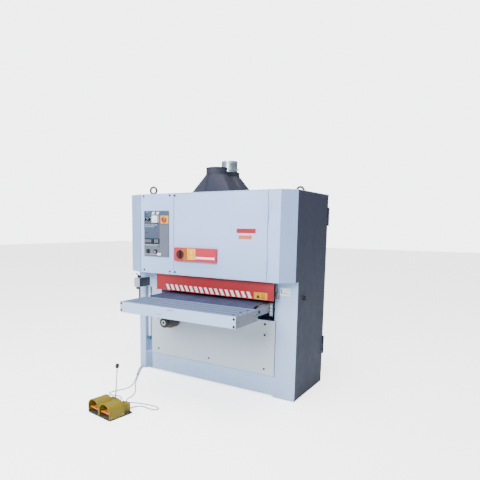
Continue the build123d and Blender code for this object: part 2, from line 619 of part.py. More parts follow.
with BuildPart() as lift_jacks:
    for x, y in SCREWS:
        block(x - JACK_W / 2, x + JACK_W / 2, y - JACK_W / 2, y + JACK_W / 2, DECK_Z, SPROCKET_Z - 5)
        rod_z(SPROCKET_R, SPROCKET_Z - 5, SPROCKET_Z + 5, x, y)
        rod_z(26, SPROCKET_Z + 5, JACK_TOP, x, y)
        rod_z(SCREW_R + FIT, DECK_Z + 10, JACK_TOP + 1, x, y, Mode.SUBTRACT)
save(lift_jacks, "lift_jacks")

CHAIN_GAP = 0.5
with BuildPart() as lift_chain:
    for grow, mode in ((CHAIN_GAP + CHAIN, Mode.ADD), (CHAIN_GAP, Mode.SUBTRACT)):
        with BuildSketch(Plane.XY.offset(SPROCKET_Z - 4)) as loop:
            with Locations((FEED_X, 0)):
                RectangleRounded(2 * (SCREW_X + SPROCKET_R + grow),
                                 2 * (SCREW_Y + SPROCKET_R + grow), SPROCKET_R + grow)
        extrude(loop.sketch, amount=8, mode=mode)
save(lift_chain, "lift_chain")

WHEEL_R = 52
WHEEL_Y = BASE_FRONT - 197
BODY_R = 46
BODY_FRONT = BASE_FRONT - PANEL_T - 130
FINS = 5
with BuildPart() as lift_gearbox:
    rod_y(BODY_R, BODY_FRONT, BASE_FRONT - PANEL_T, HANDWHEEL_X, HANDWHEEL_Z - 18)
    for k in range(FINS):
        y = BASE_FRONT - PANEL_T - 26 - 19 * k
        rod_y(BODY_R + 8, y - 5, y + 5, HANDWHEEL_X, HANDWHEEL_Z - 18)
    block(HANDWHEEL_X - 40, HANDWHEEL_X + 40, BODY_FRONT - 16, BODY_FRONT,
          HANDWHEEL_Z - 62, HANDWHEEL_Z + 34)
    rod_y(HANDWHEEL_SHAFT_R + FIT, BODY_FRONT - 17, BASE_FRONT + 1,
          HANDWHEEL_X, HANDWHEEL_Z, Mode.SUBTRACT)
save(lift_gearbox, "lift_gearbox")

with BuildPart() as handwheel:
    rod_y(WHEEL_R, WHEEL_Y - 22, WHEEL_Y, HANDWHEEL_X, HANDWHEEL_Z)
    fillet(handwheel.edges().filter_by(GeomType.CIRCLE), 8)
    rod_y(28, WHEEL_Y - 26, WHEEL_Y - 12, HANDWHEEL_X, HANDWHEEL_Z)
    rod_y(HANDWHEEL_SHAFT_R, WHEEL_Y - 12, BASE_FRONT + 60, HANDWHEEL_X, HANDWHEEL_Z)
save(handwheel, "handwheel")

# ---------------------------------------------------------------- sanding heads
BELT_X = (FEED_X - BELT_W / 2, FEED_X + BELT_W / 2)
ROLLER_X = (FEED_X - ROLLER_W / 2, FEED_X + ROLLER_W / 2)
BEARING = 22
BEARING_W = 90
ARM_X = (ROLLER_X[0] - 26, ROLLER_X[1] + 10)
BEAM_HALF = 28
BEAM_Z = (CONTACT_Z + CONTACT_R + 60, UPPER_Z - UPPER_R - 60)

with BuildPart() as head_bearings:
    for head_y in HEAD_Y:
        for x in (COLUMN_L, COLUMN_R - BEARING):
            block(x, x + BEARING, head_y - BEARING_W / 2, head_y + BEARING_W / 2,
                  CONTACT_Z - BEARING_W / 2, CONTACT_Z + BEARING_W / 2)
            rod_x(SHAFT_R + FIT, x - 1, x + BEARING + 1, head_y, CONTACT_Z, Mode.SUBTRACT)
save(head_bearings, "head_bearings")

abrasive_belts = []
head_beams = []
for index, head_y in enumerate(HEAD_Y, 1):
    ends = [(head_y, CONTACT_Z, CONTACT_R), (head_y, UPPER_Z, UPPER_R)]

    with BuildPart() as contact_roller:
        hollow_roller(CONTACT_R, *ROLLER_X, head_y, CONTACT_Z)
        rod_x(SHAFT_R, PULLEY_X[0], COLUMN_R + 30, head_y, CONTACT_Z)
        rod_x(PULLEY_R, *PULLEY_X, head_y, CONTACT_Z)
    save(contact_roller, f"contact_roller_{index}")

    with BuildPart() as upper_roller:
        hollow_roller(UPPER_R, *ROLLER_X, head_y, UPPER_Z)
        rod_x(SHAFT_R, ARM_X[0] - 4, ARM_X[1] + 20, head_y, UPPER_Z)
    save(upper_roller, f"upper_roller_{index}")

    with BuildPart() as abrasive_belt:
        belt(ABRASIVE, *BELT_X, ends)
    abrasive_belts.append(abrasive_belt)

    with BuildPart() as head_beam:
        block(BULKHEAD_X + 12, ARM_X[1] + 16, head_y - BEAM_HALF, head_y + BEAM_HALF, *BEAM_Z)
        block(BULKHEAD_X + 11, ARM_X[1] + 8, head_y - BEAM_HALF + 8, head_y + BEAM_HALF - 8,
              BEAM_Z[0] + 8, BEAM_Z[1] - 8, mode=Mode.SUBTRACT)
        for x in ARM_X:
            block(x, x + 16, head_y - BEAM_HALF, head_y + BEAM_HALF, BEAM_Z[1], UPPER_Z + 30)
            rod_x(SHAFT_R + FIT, x - 1, x + 17, head_y, UPPER_Z, Mode.SUBTRACT)
    head_beams.append(head_beam)
save_group("abrasive_belts", *abrasive_belts)
save_group("head_frame", head_bulkhead, *head_beams)

SHOE_Y = (HEAD_Y[0] - CONTACT_R - 52, (HEAD_Y[0] + HEAD_Y[1]) / 2, HEAD_Y[1] + CONTACT_R + 52)
with BuildPart() as pressure_shoes:
    for y in SHOE_Y:
        block(COLUMN_L, COLUMN_R, y - 16, y + 16, GUARD_BOTTOM + 12, GUARD_BOTTOM + 70)
        block(*BELT_X, y - 20, y + 20, GUARD_BOTTOM + 3, GUARD_BOTTOM + 12)
    for x in (COLUMN_L + 20, COLUMN_R - 40):
        block(x, x + 20, SHOE_Y[0] - 16, SHOE_Y[0] + 16, GUARD_BOTTOM + 70, HOOD_BOTTOM)
save(pressure_shoes, "pressure_shoes")

# ---------------------------------------------------------------- main motor and drive
with BuildPart() as main_motor:
    rod_x(MOTOR_R, COLUMN_L + 12, COLUMN_L + 360, MOTOR_Y, MOTOR_Z)
    rod_x(MOTOR_R + 20, COLUMN_L, COLUMN_L + 12, MOTOR_Y, MOTOR_Z)
    for k in range(24):
        angle = 2 * pi * k / 24
        fin = Plane(origin=(COLUMN_L + 40, MOTOR_Y + MOTOR_R * sin(angle),
                            MOTOR_Z + MOTOR_R * cos(angle)),
                    x_dir=(0, cos(angle), -sin(angle)), z_dir=(1, 0, 0))
        with BuildSketch(fin) as rib:
            Rectangle(4, 16)
        extrude(rib.sketch, amount=250)
    rod_x(MOTOR_SHAFT_R + FIT, COLUMN_L - 1, COLUMN_L + 90, MOTOR_Y, MOTOR_Z, Mode.SUBTRACT)
    block(COLUMN_L + 60, COLUMN_L + 300, MOTOR_Y - 90, MOTOR_Y + 90, DECK_Z, MOTOR_Z - MOTOR_R + 20)
    block(COLUMN_L + 60, COLUMN_L + 300, MOTOR_Y - 70, MOTOR_Y + 70, DECK_Z + 10,
          MOTOR_Z - MOTOR_R - 14, Mode.SUBTRACT)
save(main_motor, "main_motor")

with BuildPart() as motor_pulley:
    rod_x(MOTOR_PULLEY_R, *PULLEY_X, MOTOR_Y, MOTOR_Z)
    rod_x(MOTOR_SHAFT_R, PULLEY_X[1], COLUMN_L + 86, MOTOR_Y, MOTOR_Z)
save(motor_pulley, "motor_pulley")

PULLEY_MID = sum(PULLEY_X) / 2
DRIVE_BELTS = ((PULLEY_X[0] + 2, PULLEY_MID - 3), (PULLEY_MID + 3, PULLEY_X[1] - 2))
with BuildPart() as drive_belts:
    for head_y, span in zip(HEAD_Y, DRIVE_BELTS):
        belt(9, *span, [(MOTOR_Y, MOTOR_Z, MOTOR_PULLEY_R), (head_y, CONTACT_Z, PULLEY_R)])
save(drive_belts, "drive_belts")

# ---------------------------------------------------------------- dust hoods
with BuildPart() as dust_hoods:
    for head_y, top in zip(HEAD_Y, DUST_TOP):
        for shrink, mode in ((0, Mode.ADD), (DUST_WALL, Mode.SUBTRACT)):
            with BuildSketch(Plane.XY.offset(HOOD_TOP)) as foot:
                with Locations((0, head_y)):
                    Rectangle(DUST_BASE[0] - 2 * shrink, DUST_BASE[1] - 2 * shrink)
            with BuildSketch(Plane.XY.offset(DUST_Z)) as neck:
                with Locations((0, head_y)):
                    Circle(DUST_R - shrink)
            loft([foot.sketch.face(), neck.sketch.face()], mode=mode)
            rod_z(DUST_R - shrink, DUST_Z, top + (1 if shrink else 0), 0, head_y, mode)
save(dust_hoods, "dust_hoods")

with BuildPart() as duct_stub:
    rod_z(STUB_R, DUST_TOP[1] - 60, STUB_TOP, 0, HEAD_Y[1])
    rod_z(DUST_R - DUST_WALL, DUST_TOP[1] - 3, DUST_TOP[1], 0, HEAD_Y[1])
    rod_z(STUB_R - 2, DUST_TOP[1] - 61, STUB_TOP + 1, 0, HEAD_Y[1], Mode.SUBTRACT)

with BuildPart() as duct_clamp:
    rod_z(STUB_R + 3, DUST_TOP[1] + 20, DUST_TOP[1] + 32, 0, HEAD_Y[1])
    block(STUB_R, STUB_R + 24, HEAD_Y[1] - 8, HEAD_Y[1] + 8, DUST_TOP[1] + 20, DUST_TOP[1] + 32)
    rod_z(STUB_R, DUST_TOP[1] + 19, DUST_TOP[1] + 33, 0, HEAD_Y[1], Mode.SUBTRACT)
save_group("duct_stub", duct_stub, duct_clamp)

RING_AXIS = Vector(0.34, -0.94, 0)
RING_Z = HOOD_TOP + 50
RING_R = 34
RING_BAR_R = 7
with BuildPart() as eyebolts:
    for x, y in EYEBOLTS:
        rod_z(8, ROOF, HOOD_TOP, x, y)
        rod_z(19, HOOD_TOP, HOOD_TOP + 12, x, y)
        with BuildSketch(Plane(origin=(x, y, RING_Z), x_dir=RING_AXIS,
                               z_dir=RING_AXIS.cross(Vector(0, 0, 1)))) as bar:
            with Locations((0, RING_R)):
                Circle(RING_BAR_R)
        revolve(bar.sketch, axis=Axis((x, y, RING_Z), RING_AXIS))
save(eyebolts, "eyebolts")

# ---------------------------------------------------------------- small pieces on the base
BOX_X = (LEFT + 70, LEFT + 145)
BOX_Z = (940, 1035)
with BuildPart() as pressure_switch_box:
    block(*BOX_X, HOOD_FRONT + 10, BASE_FRONT, *BOX_Z)
    fillet(pressure_switch_box.edges().filter_by(Axis.Y), 5)

LEVER_X = sum(BOX_X) / 2
LEVER_PIVOT = (LEVER_X, HOOD_FRONT + 47, BOX_Z[1] + 14)
with BuildPart() as lever_bracket:
    for x0 in (LEVER_X - 14, LEVER_X + 8):
        block(x0, x0 + 6, LEVER_PIVOT[1] - 15, LEVER_PIVOT[1] + 15, BOX_Z[1], BOX_Z[1] + 24)
    rod_x(4, LEVER_X - 8, LEVER_X + 8, LEVER_PIVOT[1], LEVER_PIVOT[2])

with BuildPart() as setting_lever:
    block(LEVER_X - 7, LEVER_X + 7, LEVER_PIVOT[1] - 9, LEVER_PIVOT[1] + 9,
          LEVER_PIVOT[2] - 9, LEVER_PIVOT[2] + 9)
    side_prism([(LEVER_PIVOT[1] - 6, LEVER_PIVOT[2] + 7), (LEVER_PIVOT[1] - 50, LEVER_PIVOT[2] + 34),
                (LEVER_PIVOT[1] - 44, LEVER_PIVOT[2] + 40), (LEVER_PIVOT[1] + 6, LEVER_PIVOT[2] + 9)],
               LEVER_X - 5, LEVER_X + 5)
    rod_x(4 + FIT, LEVER_X - 8, LEVER_X + 8, LEVER_PIVOT[1], LEVER_PIVOT[2], Mode.SUBTRACT)
save(setting_lever, "setting_lever")

with BuildPart() as air_line:
    rod_z(9, 812, BOX_Z[0], BOX_X[1] - 14, HOOD_FRONT + 26)
    rod_z(15, BOX_Z[0] - 26, BOX_Z[0], BOX_X[1] - 44, HOOD_FRONT + 26)

TUBE_X, TUBE_Y = LEFT + 118, BASE_FRONT + 30
TUBE_R = 15
TUBE_END = 372
with BuildPart() as niche_tube:
    rod_z(TUBE_R, TUBE_END, NICHE[3], TUBE_X, TUBE_Y)

with BuildPart() as niche_fitting:
    rod_z(TUBE_R + 4, TUBE_END - 36, TUBE_END, TUBE_X, TUBE_Y)
    rod_x(TUBE_R - 3, NICHE[0], TUBE_X, TUBE_Y, TUBE_END - 20)
save_group("air_unit", pressure_switch_box, lever_bracket, air_line)
save_group("niche_pipe", niche_tube, niche_fitting)

PANEL_SCREWS = [(-652, 596), (-652, 260), (616, 687), (616, 585), (616, 260), (0, 260), (0, 700)]
CONTROL_SCREWS = [(-703, 1884), (-366, 1884), (-701, 1134), (-366, 1134)]
with BuildPart() as cover_screws:
    for x, z in PANEL_SCREWS:
        rod_y(7, BASE_FRONT - PANEL_T - 5, BASE_FRONT - PANEL_T, x, z)
    for x, z in CONTROL_SCREWS:
        rod_y(7, HOOD_FRONT - 5, HOOD_FRONT, x, z)
save(cover_screws, "cover_screws")

# ---------------------------------------------------------------- foot pedal
PEDAL = Plane(origin=(PEDAL_X, PEDAL_Y, 0), x_dir=(cos(radians(PEDAL_TURN)),
              sin(radians(PEDAL_TURN)), 0), z_dir=(0, 0, 1))
PEDAL_BASE_T = 10
PAIR_PITCH = PEDAL_W / 2
SHROUD_W = PAIR_PITCH - 4
SHROUD_D = 150
SHROUD_FRONT = PEDAL_FRONT + 2
HOUSING_TOP = 80
HOUSING_W = 88


def pedal_block(x0, x1, y0, y1, z0, z1, mode=Mode.ADD):
    """A box between two corners in the pedal's own turned frame."""
    with BuildSketch(PEDAL.offset(z0)) as outline:
        with Locations(((x0 + x1) / 2, (y0 + y1) / 2)):
            Rectangle(x1 - x0, y1 - y0)
    extrude(outline.sketch, amount=z1 - z0, mode=mode)


def shroud_outline(centre, inset, y0, y1, mode=Mode.ADD):
    """The arched cross-section of a pedal cover, extruded from front to back."""
    section = Plane(origin=PEDAL.from_local_coords(Vector(centre, y1, PEDAL_BASE_T)),
                    x_dir=PEDAL.x_dir, z_dir=-PEDAL.y_dir)
    half = SHROUD_W / 2 - inset
    height = SHROUD_H - PEDAL_BASE_T - inset
    with BuildSketch(section) as arch:
        with BuildLine():
            Polyline((-half, height - half * 0.72), (-half, 0), (half, 0), (half, height - half * 0.72))
            ThreePointArc((half, height - half * 0.72), (0, height), (-half, height - half * 0.72))
        make_face()
    extrude(arch.sketch, amount=y1 - y0, mode=mode)


with BuildPart() as pedal_base:
    pedal_block(-PEDAL_W / 2, PEDAL_W / 2, PEDAL_FRONT, PEDAL_REAR, 0, PEDAL_BASE_T)
    fillet(pedal_base.edges().filter_by(Axis.Z), 12)

with BuildPart() as pedal_covers:
    for centre in (-PAIR_PITCH / 2, PAIR_PITCH / 2):
        shroud_outline(centre, 0, SHROUD_FRONT, SHROUD_FRONT + SHROUD_D)
    for centre in (-PAIR_PITCH / 2, PAIR_PITCH / 2):
        shroud_outline(centre, SHROUD_WALL, SHROUD_FRONT - 1,
                       SHROUD_FRONT + SHROUD_D - SHROUD_WALL, Mode.SUBTRACT)

with BuildPart() as pedal_switch_housings:
    for centre in (-PAIR_PITCH / 2, PAIR_PITCH / 2):
        pedal_block(centre - HOUSING_W / 2, centre + HOUSING_W / 2, SHROUD_FRONT + SHROUD_D,
                    PEDAL_REAR, PEDAL_BASE_T, HOUSING_TOP)
save_group("pedal_covers", pedal_covers, pedal_switch_housings)

TREADLE_W = SHROUD_W - 2 * SHROUD_WALL - 8
TREADLE_L = 118
TREADLE_T = 10
PIVOT_Y = SHROUD_FRONT + SHROUD_D - SHROUD_WALL - 12
PIVOT_Z = PEDAL_BASE_T + 16
PIVOT_PIN_R = 4


def pedal_side(centre, start):
    """The side-view plane of a pedal, with its origin on the pivot."""
    corner = PEDAL.from_local_coords(Vector(centre + start, PIVOT_Y, PIVOT_Z))
    return Plane(origin=corner, x_dir=PEDAL.y_dir, z_dir=PEDAL.x_dir)


with BuildPart() as pedal_pivots:
    for centre in (-PAIR_PITCH / 2, PAIR_PITCH / 2):
        for x0 in (centre - TREADLE_W / 2 - 3.6, centre + TREADLE_W / 2 + 0.6):
            pedal_block(x0, x0 + 3, PIVOT_Y - 8, PIVOT_Y + 8, PEDAL_BASE_T, PIVOT_Z + 8)
        with BuildSketch(pedal_side(centre, -TREADLE_W / 2 - 1)) as disc:
            Circle(PIVOT_PIN_R)
        extrude(disc.sketch, amount=TREADLE_W + 2)
save_group("pedal_base", pedal_base, pedal_pivots)

RISE = tan(radians(TREADLE_ANGLE))
for label, centre in (("treadle_left", -PAIR_PITCH / 2), ("treadle_right", PAIR_PITCH / 2)):
    with BuildPart() as treadle:
        with BuildSketch(pedal_side(centre, -TREADLE_W / 2)) as profile:
            Polygon((7, -6), (7, 8), (-6, 8 + 8 * RISE), (-TREADLE_L, TREADLE_L * RISE + 8),
                    (-TREADLE_L, TREADLE_L * RISE + 8 - TREADLE_T), (-7, -6), align=None)
        extrude(profile.sketch, amount=TREADLE_W)
        with BuildSketch(pedal_side(centre, -TREADLE_W / 2 - 1)) as bore:
            Circle(PIVOT_PIN_R + FIT)
        extrude(bore.sketch, amount=TREADLE_W + 2, mode=Mode.SUBTRACT)
    save(treadle, label)

ROD_FOOT = PEDAL.from_local_coords(Vector(-18, 76, PEDAL_BASE_T))
ROD_LEAN = Vector(sin(radians(5)), 0, cos(radians(5)))
ROD_LENGTH = 375
with BuildPart() as carrying_rod:
    rod_z(9, PEDAL_BASE_T, PEDAL_BASE_T + 14, ROD_FOOT.X, ROD_FOOT.Y)
    with BuildSketch(Plane(origin=ROD_FOOT + ROD_LEAN * 8, x_dir=(0, 1, 0), z_dir=ROD_LEAN)) as bar:
        Circle(5)
    extrude(bar.sketch, amount=ROD_LENGTH - 8)

ROD_END = ROD_FOOT + ROD_LEAN * ROD_LENGTH
with BuildPart() as rod_knob:
    with BuildSketch(Plane(origin=ROD_END, x_dir=(0, 1, 0), z_dir=ROD_LEAN)) as grip:
        RectangleRounded(30, 24, 8)
    extrude(grip.sketch, amount=34)
    fillet(rod_knob.faces().sort_by(Axis.Z)[-1].edges(), 5)
save_group("carrying_rod", carrying_rod, rod_knob)

# ---------------------------------------------------------------- cords on the floor
LEAD_END = (-737, -618)
LEAD_Z = 15
GLAND_FRONT = BASE_FRONT - 22
GLAND_X = LEFT + 47
EXIT_Z = 16

# the two cords leave the sleeve side by side and end in the two switch housings
LEFT_CORD = [
    (-741, -621, LEAD_Z), (-716, -658, 10), (-682, -708, 5.5), (-640, -776, 4.5),
    (-594, -846, 4.5), (-566, -916, 4.5), (-565, -984, 4.5), (-586, -1044, 4.5),
    (-612, -1096, 4.5), (-618, -1144, 4.5), (-594, -1180, 4.5), (-552, -1184, 4.5),
    (-510, -1166, 4.5), (-464, -1162, 4.5), (-424, -1188, 4.5), (-396, -1236, 4.5),
    (-358, -1268, 5), (-336, -1304, 12), (-343, -1342, EXIT_Z),
]
RIGHT_CORD = [
    (-733, -615, LEAD_Z), (-707, -652, 10), (-672, -702, 5.5), (-627, -770, 4.5),
    (-575, -838, 4.5), (-515, -900, 4.5), (-458, -962, 4.5), (-410, -1030, 4.5),
    (-380, -1096, 4.5), (-374, -1152, 4.5), (-362, -1198, 4.5), (-328, -1226, 4.5),
    (-284, -1218, 4.5), (-232, -1192, 4.5), (-170, -1174, 4.5), (-114, -1165, 4.5),
    (-66, -1160, 4.5), (-22, -1163, 4.5), (10, -1179, 4.5), (11, -1212, 4.5),
    (-20, -1228, 4.5), (-64, -1231, 4.5), (-118, -1222, 4.5), (-166, -1230, 4.5),
    (-192, -1268, 5), (-187, -1318, 12), (-194.5, -1363, EXIT_Z),
]

with BuildPart() as cord_gland:
    rod_y(13, GLAND_FRONT, BASE_FRONT, GLAND_X, LEAD_Z)


def cord(label, radius, points):
    """A tube along straight runs joined by tangent arcs."""
    corners = [Vector(*p) for p in points]
    radii = []
    for a, b, c in zip(corners, corners[1:], corners[2:]):
        turn = (b - a).get_angle(c - b)
        shorter = min((b - a).length, (c - b).length)
        radii.append(0.45 * shorter / tan(radians(turn / 2)))
    with BuildPart() as tube:
        with BuildLine() as route:
            FilletPolyline(*points, radius=radii)
        start = corners[0]
        with BuildSketch(Plane(origin=start, z_dir=corners[1] - start)):
            Circle(radius)
        sweep()
    length = sum(edge.length for edge in route.edges())
    print(label, "length", round(length), "radii", [round(r) for r in radii],
          "volume ratio", round(tube.part.volume / (pi * radius ** 2 * length), 4))
    save(tube, label)


# bends of the sleeve, as shares of the way from the gland to its end
SLEEVE_BENDS = [(GLAND_X + share_x * (LEAD_END[0] - GLAND_X),
                 GLAND_FRONT + share_y * (LEAD_END[1] - GLAND_FRONT), LEAD_Z)
                for share_x, share_y in ((0.113, 0.229), (0.553, 0.610))]


def sleeve(points, radius):
    """A stiff sleeve along straight runs joined by tangent arcs."""
    with BuildLine() as route:
        FilletPolyline(*points, radius=90)
    start = Vector(*points[0])
    with BuildSketch(Plane(origin=start, z_dir=Vector(*points[1]) - start)) as ring:
        Circle(radius)
    sweep(ring.sketch, path=route.line)


with BuildPart() as cord_sleeve:
    sleeve([(GLAND_X, GLAND_FRONT, LEAD_Z), *SLEEVE_BENDS, (*LEAD_END, LEAD_Z)], LEAD_R - 1)
save_group("cord_sleeve", cord_gland, cord_sleeve)

cord("left_cord", CORD_R, LEFT_CORD)
cord("right_cord", CORD_R, RIGHT_CORD)

print(len(nodes), "nodes")
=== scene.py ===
"""Looks of the wide-belt sander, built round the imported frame. Metres, +Z up, +Y to the back."""
import math
import random

import bmesh
import bpy
from mathutils import Matrix, Vector


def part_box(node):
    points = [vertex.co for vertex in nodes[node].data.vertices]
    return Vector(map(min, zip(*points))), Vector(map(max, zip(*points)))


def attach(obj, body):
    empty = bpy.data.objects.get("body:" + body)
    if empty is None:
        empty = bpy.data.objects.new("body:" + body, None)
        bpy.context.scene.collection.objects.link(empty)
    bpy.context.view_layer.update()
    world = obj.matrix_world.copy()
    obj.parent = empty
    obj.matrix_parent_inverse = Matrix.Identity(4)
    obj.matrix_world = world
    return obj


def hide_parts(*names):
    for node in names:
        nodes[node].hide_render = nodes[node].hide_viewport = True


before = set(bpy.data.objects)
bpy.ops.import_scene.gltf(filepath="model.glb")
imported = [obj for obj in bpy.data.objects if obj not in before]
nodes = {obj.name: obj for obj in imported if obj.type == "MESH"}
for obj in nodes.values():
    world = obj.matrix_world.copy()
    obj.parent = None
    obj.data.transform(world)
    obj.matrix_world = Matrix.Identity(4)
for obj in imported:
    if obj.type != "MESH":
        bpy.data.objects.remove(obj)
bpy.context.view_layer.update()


def size(node):
    """Lowest and highest corner of a node as plain tuples."""
    low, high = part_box(node)
    return tuple(low), tuple(high)


HOOD_LO, HOOD_HI = size("hood_panels")
DOOR_LO, DOOR_HI = size("front_door")
COVER_LO, COVER_HI = size("control_panel")
FASCIA_LO = size("control_fascia")[0]
SWITCH_LO = size("main_switch_box")[0]
GUARD_LO, GUARD_HI = size("infeed_guard")
TABLE_LO, TABLE_HI = size("extension_tables")
PANEL_LO, PANEL_HI = size("lower_front_panel")
DUCT_LO, DUCT_HI = size("dust_hoods")
STUB_LO, STUB_HI = size("duct_stub")
AIR_LO, AIR_HI = size("air_unit")
WHEEL_LO, WHEEL_HI = size("handwheel")
SIDE_KNOB_LO, SIDE_KNOB_HI = size("side_door_knob")
COLUMN_LO = size("left_column")[0]
RIGHT_COLUMN_LO = size("right_column")[0]
ROOF_TOP = size("hood_roof")[1][2]
HOOD_FRONT = HOOD_LO[1]
BASE_FRONT = COLUMN_LO[1]
BACK = HOOD_HI[1]
RIGHT = HOOD_HI[0]
LEFT = HOOD_LO[0]
FASCIA_FACE = HOOD_FRONT - 0.006          # the fascia's sheet stands this far out of the cover
GUARD_FACE = GUARD_LO[1] + 0.0055         # the guard's flat front lies behind its foremost edge

# ---------------------------------------------------------------- mesh helpers
# each view looks at one side: local x runs along it, y runs up, and z comes out of it
FRONT_VIEW = Matrix(((1, 0, 0), (0, 0, -1), (0, 1, 0))).to_4x4()
RIGHT_VIEW = Matrix(((0, 0, 1), (1, 0, 0), (0, 1, 0))).to_4x4()
BACK_VIEW = Matrix(((-1, 0, 0), (0, 0, 1), (0, 1, 0))).to_4x4()
LEFT_VIEW = Matrix(((0, 0, -1), (-1, 0, 0), (0, 1, 0))).to_4x4()
TOP_VIEW = Matrix.Identity(4)


def at(view, point):
    """A placed copy of one of the views above."""
    return Matrix.Translation(Vector(point)) @ view


def on(view, x, y, out=0.0):
    """A spot on a placed view: x along it, y up it, and out from its face."""
    return view @ Matrix.Translation((x, y, out))


def finish_mesh(name, bm, material, body, sharp=35):
    """Turn a bmesh into a piece that rides on a body."""
    bmesh.ops.recalc_face_normals(bm, faces=bm.faces)
    mesh = bpy.data.meshes.new(name)
    bm.to_mesh(mesh)
    bm.free()
    for face in mesh.polygons:
        face.use_smooth = True
    mesh.set_sharp_from_angle(angle=math.radians(sharp))
    mesh.materials.append(material)
    piece = bpy.data.objects.new(name, mesh)
    bpy.context.collection.objects.link(piece)
    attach(piece, body)
    return piece


def add_plate(bm, place, x0, x1, y0, y1, z0, z1, round_by=0.0, segments=2):
    """A plate with rounded edges, in the axes of a placed view."""
    made = bmesh.ops.create_cube(bm, size=1.0)["verts"]
    scale = Matrix.Diagonal((x1 - x0, y1 - y0, z1 - z0, 1))
    middle = Matrix.Translation(((x0 + x1) / 2, (y0 + y1) / 2, (z0 + z1) / 2))
    bmesh.ops.transform(bm, matrix=place @ middle @ scale, verts=made)
    if round_by:
        edges = list({e for v in made for e in v.link_edges})
        bmesh.ops.bevel(bm, geom=edges, offset=round_by, segments=segments, profile=0.5,
                        affect="EDGES")


def add_outline(bm, place, points, z0, z1, round_by=0.0):
    """A flat shape with a drawn outline, given a thickness."""
    lower = [bm.verts.new(place @ Vector((x, y, z0))) for x, y in points]
    upper = [bm.verts.new(place @ Vector((x, y, z1))) for x, y in points]
    bottom = bm.faces.new(list(reversed(lower)))
    top = bm.faces.new(upper)
    count = len(points)
    for k in range(count):
        bm.faces.new((lower[k], lower[(k + 1) % count], upper[(k + 1) % count], upper[k]))
    if round_by:
        bmesh.ops.bevel(bm, geom=list(top.edges), offset=round_by, segments=2, profile=0.5,
                        affect="EDGES")
    return bottom, top


def add_turned(bm, place, profile, steps=40):
    """A turned shape: (radius, height) points spun about the view's z axis."""
    rings = []
    for radius, height in profile:
        if radius < 1e-6:
            rings.append([bm.verts.new(place @ Vector((0, 0, height)))])
            continue
        ring = []
        for k in range(steps):
            turn = 2 * math.pi * k / steps
            spot = Vector((radius * math.cos(turn), radius * math.sin(turn), height))
            ring.append(bm.verts.new(place @ spot))
        rings.append(ring)
    for a, b in zip(rings, rings[1:]):
        for k in range(steps):
            n = (k + 1) % steps
            corners = [a[k % len(a)], a[n % len(a)], b[n % len(b)], b[k % len(b)]]
            unique = list(dict.fromkeys(corners))
            if len(unique) > 2:
                bm.faces.new(unique)
    for ring in (rings[0], rings[-1]):
        if len(ring) > 1 and not profile_closed(profile):
            bm.faces.new(ring)


def profile_closed(profile):
    """True where a turned profile ends where it starts, as a ring does."""
    return (Vector(profile[0]) - Vector(profile[-1])).length < 1e-7


def add_tube(bm, points, radius, steps=12):
    """A round bar along a polyline of close points."""
    path = [Vector(p) for p in points]
    rings = []
    side = None
    for k, point in enumerate(path):
        ahead = path[min(k + 1, len(path) - 1)] - path[max(k - 1, 0)]
        ahead.normalize()
        if side is None:
            side = ahead.orthogonal().normalized()
        side = (side - ahead * side.dot(ahead)).normalized()
        other = ahead.cross(side)
        ring = []
        for n in range(steps):
            turn = 2 * math.pi * n / steps
            ring.append(bm.verts.new(point + radius * (math.cos(turn) * side + math.sin(turn) * other)))
        rings.append(ring)
    for a, b in zip(rings, rings[1:]):
        for n in range(steps):
            m = (n + 1) % steps
            bm.faces.new((a[n], a[m], b[m], b[n]))
    bm.faces.new(list(reversed(rings[0])))
    bm.faces.new(rings[-1])


def add_ring(bm, path, radius, steps=14):
    """A round bar bent into a closed ring in an upright plane."""
    path = [Vector(p) for p in path]
    middle = sum(path, Vector()) / len(path)
    across = (path[1] - path[0]).cross(path[0] - middle).normalized()
    rings = []
    for point in path:
        outward = (point - middle).normalized()
        ring = []
        for n in range(steps):
            turn = 2 * math.pi * n / steps
            ring.append(bm.verts.new(point + radius * (math.cos(turn) * outward + math.sin(turn) * across)))
        rings.append(ring)
    for a, b in zip(rings, rings[1:] + rings[:1]):
        for n in range(steps):
            m = (n + 1) % steps
            bm.faces.new((a[n], a[m], b[m], b[n]))


def arc_points(centre, radius, start, end, steps, u, v):
    """Points along an arc in the plane of u and v, angles in degrees."""
    u, v, centre = Vector(u), Vector(v), Vector(centre)
    out = []
    for k in range(steps + 1):
        turn = math.radians(start + (end - start) * k / steps)
        out.append(centre + radius * (math.cos(turn) * u + math.sin(turn) * v))
    return out


def add_hex_bolt(bm, place, across=0.013, head=0.006, washer=0.011):
    """A washer and a hexagon head with a domed top."""
    add_turned(bm, place, [(0, 0), (washer, 0), (washer, 0.0014), (0, 0.0014)], 24)
    corner = across / 2 / math.cos(math.pi / 6)
    points = [(corner * math.cos(math.pi / 3 * k), corner * math.sin(math.pi / 3 * k)) for k in range(6)]
    add_outline(bm, place, points, 0.0014, 0.0014 + head, round_by=0.0009)


def add_cap_screw(bm, place, radius=0.006, head=0.005):
    """A cap screw: a rounded head with a hexagon socket sunk in it."""
    socket = radius * 0.5
    add_turned(bm, place, [(0, 0), (radius, 0), (radius, head * 0.8), (radius * 0.86, head),
                           (socket, head), (socket * 0.96, head * 0.35), (0, head * 0.35)], 24)


# ---------------------------------------------------------------- shader groups
def link(tree, a, b):
    """Join the output a to the input b."""
    tree.links.new(a, b)


def group(name, inputs, outputs):
    """An empty node group with named sockets."""
    tree = bpy.data.node_groups.new(name, "ShaderNodeTree")
    for label, kind, value in inputs:
        socket = tree.interface.new_socket(label, in_out="INPUT", socket_type=kind)
        socket.default_value = value
    for label, kind in outputs:
        tree.interface.new_socket(label, in_out="OUTPUT", socket_type=kind)
    start = tree.nodes.new("NodeGroupInput")
    end = tree.nodes.new("NodeGroupOutput")
    return tree, start, end


